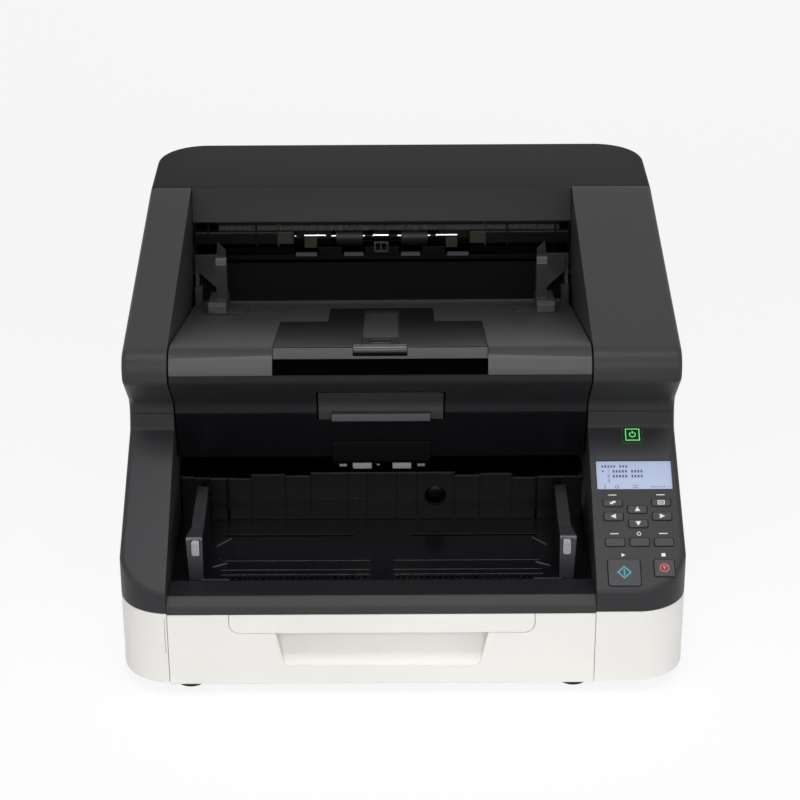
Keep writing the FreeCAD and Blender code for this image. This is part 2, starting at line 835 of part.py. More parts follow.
def make_elevator_tray():
    low = tray_top_z - tray_sheet
    left = centre_left_x + tray_side_gap
    right = centre_right_x - tray_side_gap
    plate = box(left, right, tray_front_y, tray_rear_y, low, tray_top_z)
    parts = [plate]
    parts.append(box(left, right, tray_front_y, tray_front_y + 2, low - tray_skirt, low + 1))
    for x in (left, right - 2):
        parts.append(box(x, x + 2, tray_front_y, tray_rear_y, low - tray_skirt, low + 1))
    for side in (-1, 1):
        x = centre_x + side * lift_arm_offset
        x0, x1 = x - lift_arm_thickness / 2, x + lift_arm_thickness / 2
        parts.append(box(x0, x1, tray_rear_y - lift_arm_root, feed_wall_y + 8, low - lift_arm_height,
                         low + 0.5))
    tray = joined(parts)
    cuts = []
    # bent lines across the tray on both sides of the plain centre strip
    inner = centre_strip_width / 2
    for side in (-1, 1):
        for y in tray_lines:
            x0, x1 = sorted((centre_x + side * inner, centre_x + side * (guide_inner - 13.8)))
            half = tray_line_width / 2
            cuts.append(box(x0, x1, y - half, y + half, tray_top_z - tray_line_depth, tray_top_z + 1))
        # row of comb slots along the front
        for index in range(comb_count):
            x = centre_x + side * (inner + 4 + index * comb_pitch)
            cuts.append(box(x - comb_width / 2, x + comb_width / 2, comb_front_y, comb_rear_y,
                            low - 1, tray_top_z + 1))
        # slot for the stem of the document guide
        near = guide_stem_offset - guide_travel - guide_stem_width / 2 - 1
        away = guide_stem_offset + guide_stem_width / 2 + 1
        x0, x1 = sorted((centre_x + side * near, centre_x + side * away))
        half = guide_stem_sheet / 2 + slide_clearance
        cuts.append(box(x0, x1, guide_stem_y - half, guide_stem_y + half, low - 1, tray_top_z + 1))
    return tray.cut(cuts)


elevator_tray = make_elevator_tray()


# Wall behind the feed tray

# panels from left to right: start, end and top, with the middle ones placed from the centre
wall_panels = (
    (centre_left_x + 0.9, left_wall_x + 13.4, 128.0), (left_wall_x + 13.4, left_wall_x + 26.6, 127.0),
    (left_wall_x + 26.6, left_wall_x + 42.3, 126.5), (left_wall_x + 44.7, left_wall_x + 65.0, 126.0),
    (left_wall_x + 65.0, centre_x - 86.9, 130.0), (centre_x - 86.9, centre_x - 63.9, 128.5),
    (centre_x - 63.9, centre_x - 30.8, 131.6), (centre_x - 30.8, centre_x - 13.1, 131.6),
    (centre_x - 13.1, centre_x + 13.5, 131.6), (centre_x + 13.5, centre_x + 31.6, 131.6),
    (centre_x + 31.6, centre_x + 65.1, 131.6), (centre_x + 65.1, centre_x + 88.2, 128.5),
    (centre_x + 88.2, right_wall_x - 65.2, 130.0), (right_wall_x - 65.2, right_wall_x - 44.7, 126.0),
    (right_wall_x - 42.3, centre_right_x - 0.9, 127.0),
)


def make_feed_wall():
    back = feed_wall_y + feed_wall_sheet
    parts = []
    for x0, x1, top in wall_panels:
        parts.append(box(x0, x1, feed_wall_y, back, feed_wall_low_z, top))
    # channels behind the wall that guide the lift arms and join the panels beside them
    for side in (-1, 1):
        x = centre_x + side * lift_arm_offset
        channel = box(x - 6, x + 6, back - 0.5, feed_wall_y + 11, feed_wall_low_z, arm_channel_top_z)
        slot = box(x - 2.2, x + 2.2, back - 1, feed_wall_y + 9, feed_wall_low_z - 1, arm_channel_top_z + 1)
        parts.append(channel.cut(slot))
    for x in (left_wall_x + 21, centre_x - 74.5, centre_x + 0.5, centre_x + 76.5, right_wall_x - 22):
        parts.append(prism([(back - 0.5, feed_wall_low_z + 0.5), (back + 10, feed_wall_low_z + 0.5),
                            (back - 0.5, arm_channel_top_z - 4)], "x", x, x + 2))
    cup = rod("y", lens_x, lens_z, lens_radius + 2.0, back - 0.5, back + 2.0)
    wall_body = joined(parts + [cup])
    cuts = []
    for x0, x1, top in wall_panels[1:]:
        cuts.append(box(x0 - feed_wall_slot / 2, x0 + feed_wall_slot / 2, feed_wall_y - 1,
                        feed_wall_y + feed_wall_slot_depth, tray_top_z, top + 9))
    cuts.append(box(centre_x - 63.9, centre_x + 38.5, feed_wall_y - 1, feed_wall_y + 1.0,
                    feed_wall_mid_z - 0.5, feed_wall_mid_z + 0.5))
    # round cup with the glossy lens of the stack sensor sunk into it
    cuts.append(rod("y", lens_x, lens_z, lens_radius + lens_cup, feed_wall_y - 1, back))
    ball_radius = (lens_radius ** 2 + lens_crown ** 2) / (2 * lens_crown)
    ball = Part.makeSphere(ball_radius, vec(lens_x, feed_wall_y + 0.2 + ball_radius, lens_z))
    lens = ball.common(rod("y", lens_x, lens_z, lens_radius, feed_wall_y, back + 0.5))
    return wall_body.cut(cuts).fuse(lens).removeSplitter()


feed_back_wall = make_feed_wall()


# Document guides and their lock buttons

guide_low_z = tray_top_z + guide_lift
guide_profile = [(guide_front_y, guide_low_z), (guide_brow_y, guide_shoulder_z, 3.0),
                 (70.0, guide_shoulder_z - 0.8, 12.0), (guide_rear_y, guide_top_z, 2.0),
                 (guide_rear_y, guide_low_z + 14.7, 5.0), (guide_tail_y, guide_low_z + 4.7, 4.0),
                 (guide_tail_y, guide_low_z)]
# the zigzag foot plate that reaches towards the sheets, measured inwards from the inner face
guide_foot = [(11.9, 126.3), (19.8, 120.6), (7.4, 106.1), (11.3, 84.9), (10.6, 80.8), (18.7, 75.7),
              (6.0, 68.9), (10.1, 59.1), (13.3, 54.3), (22.5, 46.6), (-2.0, 46.6), (-2.0, 126.3)]


def make_left_guide():
    inner_x = centre_x - guide_inner
    outer_x = inner_x - guide_shoulder
    middle = inner_x - guide_width / 2
    # side profile, drawn in to the rear ridge and to the narrower foot
    body = prism(guide_profile, "x", outer_x, inner_x)
    ridge = inner_x - guide_ridge
    body = body.common(prism([(inner_x, 40), (outer_x, 40), (outer_x, guide_brow_y), (ridge - 0.9, 72.0,
                                                                                      20.0),
                              (ridge, 150.0), (inner_x, 150.0)], "z", tray_top_z, guide_top_z + 1))
    body = body.common(prism([(inner_x, guide_low_z), (inner_x - guide_width, guide_low_z),
                              (outer_x, guide_shoulder_z), (outer_x, guide_top_z + 1),
                              (inner_x, guide_top_z + 1)], "y", 40, 150))
    face = Part.Face(outline(guide_profile, lambda a, b: vec(outer_x - 1, a, b)))
    hollow = Part.Face(face.makeOffset2D(-guide_shell).OuterWire).extrude(vec(guide_shoulder - 1.2, 0, 0))
    foot = prism([(inner_x + a, b) for a, b in guide_foot], "z", guide_low_z, guide_low_z + guide_foot_sheet)
    x = centre_x - guide_stem_offset
    half = guide_stem_width / 2
    low = tray_top_z - tray_sheet
    stem = box(x - half, x + half, guide_stem_y - guide_stem_sheet / 2, guide_stem_y + guide_stem_sheet / 2,
               low - 2.4, guide_low_z + 0.5)
    head = box(x - half, x + half, guide_stem_y - 5, guide_stem_y + 5, low - 2.4, low - guide_lift)
    hole_half = button_width / 2 + button_gap
    hole = box(middle - hole_half, middle + hole_half, 40, guide_front_y + button_hole_depth,
               button_z - button_height / 2 - button_gap, button_z + button_height / 2 + button_gap)
    return body.cut(hollow).fuse([foot, stem, head]).removeSplitter().cut(hole)


def make_left_button():
    middle = centre_x - guide_inner - guide_width / 2
    low = button_z - button_height / 2
    high = button_z + button_height / 2
    lean = (guide_brow_y - guide_front_y) / (guide_shoulder_z - guide_low_z)
    front = guide_front_y + (button_z - guide_low_z) * lean
    cap = prism(rounded_corners(middle - button_width / 2, middle + button_width / 2, low, high, 1.8),
                "y", front - 1.6, front + 2.6)
    flange = box(middle - button_width / 2, middle + button_width / 2, front + 2.5, front + 3.7,
                 low - 1.2, high)
    groove = box(middle - button_width, middle + button_width, front - 2, front - 1.1,
                 high - button_groove - 0.6, high - button_groove)
    return cap.fuse(flange).cut(groove)


document_guide_left = make_left_guide()
document_guide_right = mirrored(document_guide_left, centre_x)
lock_button_left = make_left_button()
lock_button_right = mirrored(lock_button_left, centre_x)


# Eject tray, its extension plate and its stopper

plate_left = centre_x - plate_half_width
plate_right = centre_x + plate_half_width
tray_corner_z = nose_edge_z - (tray_corner_y - nose_edge_y) * math.tan(tray_slope)
eject_slot_u = (eject_slot_y - nose_edge_y) / math.cos(tray_slope)


def make_left_wing():
    # moulded wing in the back corner that hides the hinge, with a rib and a block at its foot
    x0 = centre_left_x + 1.5
    front = hinge_y - 12.0
    top = hinge_z + 23.5
    line = [(tray_corner_y - 4, tray_corner_z + 2), (front, hinge_z + 4.5), (front, top)]
    plate = bent(line, 2.0, x0, x0 + wing_width)
    below = prism([(x0 + 3.5, tray_corner_z - 9), (x0 + 3.5, hinge_z + 5), (x0 + wing_width + 1,
                                                                            hinge_z - 11),
                   (x0 + wing_width + 1, tray_corner_z - 9)], "y", tray_corner_y - 20, hinge_y)
    rib = box(x0 + 3.0, x0 + 4.2, front - 1.5, front + 0.5, hinge_z + 5, top)
    low = tray_corner_z + 3.0
    block = prism([(tray_corner_y - 12, low), (tray_corner_y - 10, tray_corner_z + 20),
                   (tray_corner_y, tray_corner_z + 20),
                   (tray_corner_y - 4, tray_corner_z - 1), (tray_corner_y - 12, tray_corner_z + 1)],
                  "x", x0, x0 + 7.0)
    return plate.cut(below).fuse([rib, block])


def make_eject_tray():
    crest = [(nose_y, nose_seam_z + half_gap),
             (nose_y, nose_edge_z - (nose_edge_y - nose_y) * top_rise, nose_radius),
             (nose_edge_y + 3, nose_edge_z - 0.5, 9.0),
             (tray_corner_y, tray_corner_z, 8.0), (tray_wall_top_y, tray_wall_top_z)]
    parts = [bent(crest, eject_sheet, centre_left_x, centre_right_x)]
    for x in (centre_left_x, centre_right_x - 2.0):
        parts.append(bar(tray_point, [(8, -1), (tray_corner_u - 5.2, -1), (tray_corner_u - 13.2, -12),
                                      (12, -12)],
                         x, x + 2.0))
    # walls and floor of the pocket for the extension plate
    deep = plate_depth + plate_gap
    reach = lug_reach + 2.8
    back = plate_length + plate_gap
    low = -deep - pocket_floor
    parts.append(bar(tray_point, [(pocket_front_u, -1), (back + 2, -1), (back + 2, low),
                                  (pocket_front_u, low)],
                     plate_left - reach, plate_right + reach))
    tab_low = -tab_depth - plate_gap
    parts.append(bar(tray_point, [(back, -1), (tab_length + 4, -1), (tab_length + 4, tab_low - 1.8),
                                  (back, tab_low - 1.8)], centre_x - tab_half_width - 3,
                     centre_x + tab_half_width + 3))
    for x in (plate_left, plate_right - 6.0):
        # runners under both ends of the plate
        parts.append(bar(tray_point, [(-4, -deep), (pocket_front_u + 1, -deep), (pocket_front_u + 1, low - 6),
                                      (-4, low - 6)], x, x + 6.0))
    tray = joined(parts)
    cuts = [bar(tray_point, [(-34, -deep), (back, -deep), (back, 30), (-34, 30)],
                plate_left - plate_gap, plate_right + plate_gap)]
    cuts.append(bar(tray_point, [(back - 1, tab_low), (tab_length + plate_gap, tab_low),
                                 (tab_length + plate_gap, 30), (back - 1, 30)],
                    centre_x - tab_half_width - plate_gap, centre_x + tab_half_width + plate_gap))
    # grooves that hold the lugs of the plate
    low = lug_low - 0.4
    high = lug_top + 0.4
    groove_start = plate_length - 1 - lug_length - extension_travel - plate_gap
    cuts.append(bar(tray_point, [(groove_start, low), (back, low), (back, high), (groove_start, high)],
                    plate_left - lug_reach - plate_gap, plate_right + lug_reach + plate_gap))
    # front of the nose is open under the plate
    cuts.append(box(plate_left - plate_gap, plate_right + plate_gap, nose_y - 5, nose_y + eject_sheet + 1.4,
                    nose_seam_z, height))
    room = plate_front_u + plate_apron_sheet + plate_gap
    apron_low = -plate_depth - plate_apron - plate_gap
    cuts.append(bar(tray_point, [(-34, apron_low), (room, apron_low), (room, 0), (-34, 0)],
                    plate_left - plate_gap, plate_right + plate_gap))
    for side in (-1, 1):
        # slots for the feet of the eject guides, and room for the hinge ears
        near = eject_guide_offset - eject_guide_travel - 4
        away = eject_guide_offset + 6
        x0, x1 = sorted((centre_x + side * near, centre_x + side * away))
        half = eject_slot_width / 2
        cuts.append(bar(tray_point, [(eject_slot_u - half, -9), (eject_slot_u + half, -9),
                                     (eject_slot_u + half, 9),
                                     (eject_slot_u - half, 9)], x0, x1))
        ear_x = centre_left_x if side < 0 else centre_right_x
        x0, x1 = sorted((ear_x, ear_x - side * 5.6))
        cuts.append(box(x0, x1, hinge_y - 20, hinge_y + 30, hinge_z - 52, hinge_z + 38))
    wing = make_left_wing()
    return tray.cut(cuts).fuse([wing, mirrored(wing, centre_x)]).removeSplitter()


def make_extension():
    front = plate_front_u
    top = plate_stand
    low = -plate_depth - plate_apron
    profile = [(front, low), (front, top, 3.0), (plate_length, top), (plate_length, -plate_depth),
               (front + plate_apron_sheet + 0.4, -plate_depth), (front + plate_apron_sheet, low)]
    plate = bar(tray_point, profile, plate_left, plate_right)
    lug = bar(tray_point, [(plate_length - 1 - lug_length, lug_low), (plate_length - 1, lug_low),
                           (plate_length - 1, lug_top), (plate_length - 1 - lug_length, lug_top)],
              plate_left - lug_reach, plate_right + lug_reach)
    tab = bar(tray_point, [(plate_length - 2, top), (tab_length, top), (tab_length, -tab_depth),
                           (plate_length - 2, -tab_depth)], centre_x - tab_half_width,
                           centre_x + tab_half_width)
    body = plate.fuse([lug, tab]).removeSplitter()
    # channel for the stopper, with a row of ticks behind it and a deeper finger hollow at its end
    half = stopper_half_width + plate_gap
    cuts = [bar(tray_point, [(front - 1, stopper_bed), (groove_length, stopper_bed), (groove_length, 9),
                             (front - 1, 9)], centre_x - half, centre_x + half)]
    start = groove_length - hollow_length
    cuts.append(bar(tray_point, [(start, stopper_bed - 0.8), (groove_length - 1.5, stopper_bed - 0.8),
                                 (groove_length - 1.5, 9), (start, 9)], centre_x - half + 1.5,
                                 centre_x + half - 1.5))
    for index in range(5):
        x = centre_x + (index - 2) * 6.0
        cuts.append(bar(tray_point, [(stopper_length + 4, stopper_bed - 0.4), (stopper_length + 8,
                                                                               stopper_bed - 0.4),
                                     (stopper_length + 8, 0), (stopper_length + 4, 0)], x - 0.6, x + 0.6))
    # clearance for the hinge barrel and the handle in front
    barrel = barrel_half_length + plate_gap
    cuts.append(bar(tray_point, [(front - 12, -7.4), (1.2, -7.4), (1.2, 9), (front - 12, 9)],
                    centre_x - barrel, centre_x + barrel))
    reach = barrel + barrel_pin_length + 1
    cuts.append(tray_rod(barrel_u, barrel_v, barrel_pin_radius + shaft_clearance, centre_x - reach,
                         centre_x + reach))
    return body.cut(cuts)


def tray_rod(u, v, radius, x0, x1):
    y, z = tray_point(u, v)
    return rod("x", y, z, radius, x0, x1)


def make_stopper():
    reach = barrel_half_length + barrel_pin_length
    barrel = tray_rod(barrel_u, barrel_v, barrel_radius, centre_x - barrel_half_length,
                      centre_x + barrel_half_length)
    pins = tray_rod(barrel_u, barrel_v, barrel_pin_radius, centre_x - reach, centre_x + reach)
    end = barrel_u + stopper_length
    blade = bar(tray_point, [(barrel_u, stopper_bed + 0.3), (end, stopper_bed + 0.3), (end, 0.9),
                             (barrel_u, 0.9)],
                centre_x - stopper_half_width, centre_x + stopper_half_width)
    window = bar(tray_point, [(barrel_u + 14, -9), (end - 8, -9), (end - 8, 9), (barrel_u + 14, 9)],
                 centre_x - 9, centre_x + 9)
    return barrel.fuse([pins, blade]).removeSplitter().cut(window)


eject_tray = make_eject_tray()
eject_extension = make_extension()
eject_stopper = make_stopper()


# Eject guides

def make_left_eject_guide():
    x = centre_x - eject_guide_offset
    left = x - 5.2
    right = x + 4.8
    u0 = (eject_guide_front_y - nose_edge_y) / math.cos(tray_slope)
    u1 = u0 + 50.0
    lift = guide_lift
    post_y = eject_guide_front_y + 22.0
    foot_low = tray_point(u0 + 20, 0)[1]
    top = eject_guide_top_z
    post = prism([(post_y, foot_low - 3.0), (post_y + 2, top - 6, 3.0), (post_y + 6, top, 2.0),
                  (post_y + 14, top - 3), (post_y + 17, foot_low - 8.0)], "x", left, right)
    base = bar(tray_point, [(u0 + 4, lift), (u0 + 4, 8.0), (u0 + 8, 11.0), (u1, 15.0), (u1 + 10, lift)],
               x - 12.0, right)
    foot = slab(tray_point, [(x - 12, u0 + 4), (x + eject_foot_reach, u0 + 2), (x + eject_foot_reach, u1 - 6),
                             (x + 6, u1 + 6)], lift, lift + eject_foot_sheet)
    below = bar(tray_point, [(0, -40), (300, -40), (300, lift), (0, lift)], x - 20, x + 40)
    # clear tip on top of the post, highest at its outer side
    tip = prism([(left, top - 6), (left + 2.1, eject_guide_tip_z), (right - 0.4, eject_guide_tip_z - 7.5),
                 (right, top - 6)], "y", post_y + 9, post_y + 12)
    body = post.fuse([base, foot, tip]).removeSplitter().cut(below)
    half = eject_slot_width / 2 - slide_clearance
    stem = bar(tray_point, [(eject_slot_u - half, lift + 1), (eject_slot_u + half, lift + 1),
                            (eject_slot_u + half, -eject_sheet - 2.4), (eject_slot_u - half,
                                                                        -eject_sheet - 2.4)],
               x - 5, x + 4)
    head = bar(tray_point, [(eject_slot_u - 5, -eject_sheet - 2.4), (eject_slot_u + 5, -eject_sheet - 2.4),
                            (eject_slot_u + 5, -eject_sheet - lift), (eject_slot_u - 5, -eject_sheet - lift)],
               x - 5, x + 4)
    return body.fuse([stem, head]).removeSplitter()


eject_guide_left = make_left_eject_guide()
eject_guide_right = mirrored(eject_guide_left, centre_x)


# Nose cover, open lever and lower front panel

def around_pivot(corners):
    # corners given from the pivot of the open lever
    return [(lever_pivot_y + corner[0], lever_pivot_z + corner[1]) + tuple(corner[2:]) for corner in corners]


def make_nose_cover():
    line = [(waist_y, waist_z + half_gap), (waist_y, waist_top_z, waist_radius),
            (nose_y, nose_low_z, chin_radius), (nose_y, nose_seam_z - half_gap)]
    cover = bent(line, eject_sheet, centre_left_x, centre_right_x)
    parts = [cover]
    ear = around_pivot([(7.5, -14.5), (-16.0, 7.1), (-11.0, 13.5, 4.0), (4.0, 9.5, 4.0), (12.0, -8.5)])
    near = lever_half_width + lever_gap + nose_ear_gap
    for side in (-1, 1):
        x0, x1 = sorted((centre_x + side * near, centre_x + side * (near + ear_sheet)))
        parts.append(prism(ear, "x", x0, x1))
        end_x = centre_left_x if side < 0 else centre_right_x - 2.0
        parts.append(prism([(waist_y + 1, waist_z + 1), (waist_y + 1, waist_top_z + 1),
                            (nose_y + 1, nose_low_z + 1),
                            (nose_y + 1, nose_seam_z - 1), (nose_y + 9, nose_seam_z - 1),
                            (nose_y + 12, nose_low_z),
                            (waist_y + 9, waist_top_z + 3), (waist_y + 9, waist_z + 1)], "x", end_x,
                            end_x + 2.0))
    body = joined(parts)
    half = lever_half_width + lever_gap
    opening = prism(around_centre(half, waist_z - 30, lever_top_z + lever_top_gap, 4.0), "y", nose_y - 9,
                    waist_y + 11)
    reach = half + 12
    hole = rod("x", lever_pivot_y, lever_pivot_z, lever_pin_radius + shaft_clearance,
               centre_x - reach, centre_x + reach)
    return body.cut([opening, hole])


def chin_point(b, v):
    # b runs up the lower front panel from its bottom edge, v stands off it to the front
    run_y = waist_y - panel_low_y
    run_z = waist_z - panel_low_z
    length = math.hypot(run_y, run_z)
    return (panel_low_y + (b * run_y - v * run_z) / length, panel_low_z + (b * run_z + v * run_y) / length)


def make_lower_front_panel():
    line = [(panel_tie_y, panel_low_z + 2.5), (panel_low_y, panel_low_z, 2.5), (waist_y, waist_z - half_gap)]
    panel = bent(line, eject_sheet, centre_left_x, centre_right_x)
    ribs = []
    for offset in (3.0, 60.0):
        for x in (centre_left_x + offset, centre_right_x - offset):
            ribs.append(prism([(panel_low_y + 1.5, panel_low_z + 2), (panel_low_y + 18, panel_low_z + 2.5),
                               (waist_y + 4, waist_z - 4), (waist_y + 1.5, waist_z - 4)], "x", x - 1, x + 1))
    body = joined([panel] + ribs)
    high = math.hypot(waist_y - panel_low_y, waist_z - panel_low_z) - panel_recess_edge
    recess = slab(chin_point, [(centre_x - panel_recess_half, -9), (centre_x + panel_recess_half, -9),
                               (centre_x + panel_recess_half, high, panel_recess_radius),
                               (centre_x - panel_recess_half, high, panel_recess_radius)],
                  -panel_recess_depth, 5.0)
    half = lever_half_width + lever_gap
    opening = prism(around_centre(half, lever_low_z - lever_gap, waist_z + 30, 3.0), "y", nose_y,
                    waist_y + 11)
    gate = box(centre_x - pickup_half_width - 0.4, centre_x + pickup_half_width + 0.4, waist_y - 20,
               panel_tie_y - 5.5,
               panel_low_z - 9, pickup_top_z + 0.4)
    above = box(-wide, wide, waist_y - 20, waist_y + 20, waist_z - half_gap, waist_z + 20)
    return body.cut([recess, opening, gate, above])


def make_open_lever():
    start = chin_point(lever_low_z - panel_low_z + 1.2, 0.0)
    run = (lever_top_z - waist_top_z) / (nose_low_z - waist_top_z)
    end = (waist_y + (nose_y - waist_y) * run, lever_top_z)
    line = [(start[0], lever_low_z), (waist_y, waist_z), (waist_y, waist_top_z, waist_radius), end]
    blade = bent(line, lever_sheet, centre_x - lever_half_width, centre_x + lever_half_width)
    blade = blade.common(prism([(centre_x - lever_half_width, waist_z - 40), (centre_x + lever_half_width,
                                                                              waist_z - 40),
                                (centre_x + lever_half_width, lever_top_z, 4.0),
                                (centre_x - lever_half_width, lever_top_z, 4.0)], "y", nose_y, waist_y + 20))
    ledge = prism([(waist_y + 2, waist_z - 8.1), (waist_y - 3.5, waist_z - 7.3, 1.5),
                   (waist_y - 4.0, waist_z - 0.1, 1.5),
                   (waist_y + 2, waist_z + 2.1)], "x", centre_x - ledge_half_width,
                   centre_x + ledge_half_width)
    parts = [blade, ledge]
    ear = around_pivot([(-2.2, -5.0), (12.5, -18.5), (15.5, -16.5), (7.0, 3.5, 4.0), (1.0, 6.0, 4.0),
                        (-5.5, 3.5, 3.0), (-5.5, -2.0)])
    inner = lever_half_width - lever_ear_in
    for side in (-1, 1):
        x0, x1 = sorted((centre_x + side * inner, centre_x + side * (inner + ear_sheet)))
        parts.append(prism(ear, "x", x0, x1))
        away = lever_half_width + lever_gap + nose_ear_gap + ear_sheet
        x0, x1 = sorted((centre_x + side * (inner + 1), centre_x + side * away))
        parts.append(rod("x", lever_pivot_y, lever_pivot_z, lever_pin_radius, x0, x1))
    return joined(parts)


nose_cover = make_nose_cover()
lower_front_panel = make_lower_front_panel()
open_lever = make_open_lever()


# Pickup block with the pick rollers

pick_places = (
    (centre_x - 37.7, centre_x - 31.1, pick_side_radius), (centre_x - 25.7, centre_x - 8.9, pick_radius),
    (centre_x - 4.6, centre_x - 1.6, pick_middle_radius), (centre_x + 9.9, centre_x + 26.5, pick_radius),
    (centre_x + 32.1, centre_x + 38.7, pick_side_radius),
)


def make_pickup_block():
    x0 = centre_x - pickup_half_width
    x1 = centre_x + pickup_half_width
    profile = [(pickup_y - 13.2, pickup_top_z, 2.5), (pickup_y - 13.8, pickup_low_z + 4.1, 4.0),
               (pickup_y - 10.5, pickup_low_z), (pickup_y + 14.0, pickup_low_z), (pickup_y + 14.0,
                                                                                  pickup_top_z)]
    body = prism(profile, "x", x0, x1)
    cuts = []
    for low, high, radius in pick_places:
        room = radius + 0.9
        cuts.append(box(low - 0.9, high + 0.9, pickup_y - room, pickup_y + room, pickup_low_z - 5,
                        pickup_z + room))
    cuts.append(rod("x", pickup_y, pickup_z, shaft_radius + shaft_clearance, x0 + pickup_wall,
                    x1 - pickup_wall))
    return body.cut(cuts)


def make_pick_rollers():
    reach = pickup_half_width - pickup_wall - 0.4
    parts = [rod("x", pickup_y, pickup_z, shaft_radius, centre_x - reach, centre_x + reach)]
    for low, high, radius in pick_places:
        parts.append(rod("x", pickup_y, pickup_z, radius, low, high))
    return joined(parts)


pickup_block = make_pickup_block()
pick_rollers = make_pick_rollers()


# Steel chassis of the upper unit, scan units and paper path

transport_z = path_z(roller_y) + 0.5 - transport_radius
turn_y = path_rear_y - 8.0


def make_upper_frame():
    front_y = 188.0
    inner_turn_y = turn_y - turn_gap
    bend_y = path_rear_y - 60.0
    bend_z = path_z(bend_y) + path_gap
    front_z = path_z(front_y) + path_gap
    guide = [(turn_top_y, turn_top_z - turn_gap), (inner_turn_y, hinge_z - 6, 14.0),
             (inner_turn_y, hinge_z - 36, 18.0), (bend_y, bend_z, 20.0), (front_y, front_z, 3.0),
             (front_y - 7, front_z + 6)]
    parts = [bent(guide, path_sheet, chassis_left, chassis_right)]
    under = -eject_sheet - 0.3
    start = tray_point(75.0, under)
    low = tray_point(tray_corner_u - 3.7, under)
    profile = [(front_y, front_z + 0.8), (bend_y, bend_z + 0.8, 20.0), (inner_turn_y - 0.8, hinge_z - 36,
                                                                        18.0),
               (inner_turn_y - 0.8, hinge_z - 14, 10.0), (hinge_y + 14, hinge_z - 2, 6.0),
               (hinge_y + 4, hinge_z + 6), (hinge_y - 6.5, hinge_z + 4), (tray_corner_y - 1, low[1] - 1.4),
               low, start, (front_y, start[1] - 8)]
    hole_top = tray_point(185.0, -42.0)[1]
    for x in (chassis_left, chassis_right - chassis_sheet):
        plate = prism(profile, "x", x, x + chassis_sheet)
        ear = rod("x", hinge_y, hinge_z, ear_radius, x, x + chassis_sheet)
        hole = prism(clipped_corners(210, 285, front_z + 20, hole_top, 3.0), "x", x - 1, x + 3)
        parts.append(plate.fuse(ear).cut(hole))
    body = joined(parts)
    cuts = [rod("x", hinge_y, hinge_z, hinge_pin_radius + shaft_clearance, chassis_left - 5,
                chassis_right + 5)]
    # window for the upper scan unit, from one side plate to the other
    level = path_z(upper_scan_front)
    cuts.append(box(chassis_left + chassis_sheet, chassis_right - chassis_sheet, upper_scan_front - 0.5,
                    upper_scan_rear + 0.5, level, level + 12))
    return body.cut(cuts)


def make_upper_scan_unit():
    low = path_z(upper_scan_front) + path_gap
    high = tray_point((upper_scan_rear - nose_edge_y) / math.cos(tray_slope), 0.0)[1] - scan_tray_clearance
    x0 = chassis_left + chassis_sheet
    x1 = chassis_right - chassis_sheet
    body = box(x0, x1, upper_scan_front, upper_scan_rear, low + 2.4, high)
    body = body.makeChamfer(2.0, [e for e in body.Edges if e.BoundBox.XLength > 100 and e.BoundBox.ZMin > low + 20])
    glass = box(x0 + 6, x1 - 6, upper_scan_front + 0.5, upper_scan_rear - 0.5, low, low + 3)
    lamp = box(x0 + 12, x1 - 12, upper_scan_front + 8, upper_scan_rear - 8, high - 1, high + 4)
    return joined([body, glass, lamp])


def make_lower_scan_unit():
    high = path_z(lower_scan_front) - 0.2
    x0 = frame_left_x + 0.4
    x1 = frame_right_x - 0.4
    body = box(x0, x1, lower_scan_front + 1, lower_scan_rear - 1, high - 38, high - 2.6)
    glass = box(centre_left_x + 6, centre_right_x - 6, lower_scan_front, lower_scan_rear, high - 3, high)
    lamp = box(x0 + 20, x1 - 20, lower_scan_front + 8, lower_scan_rear - 8, high - 43, high - 37)
    return joined([body, glass, lamp])


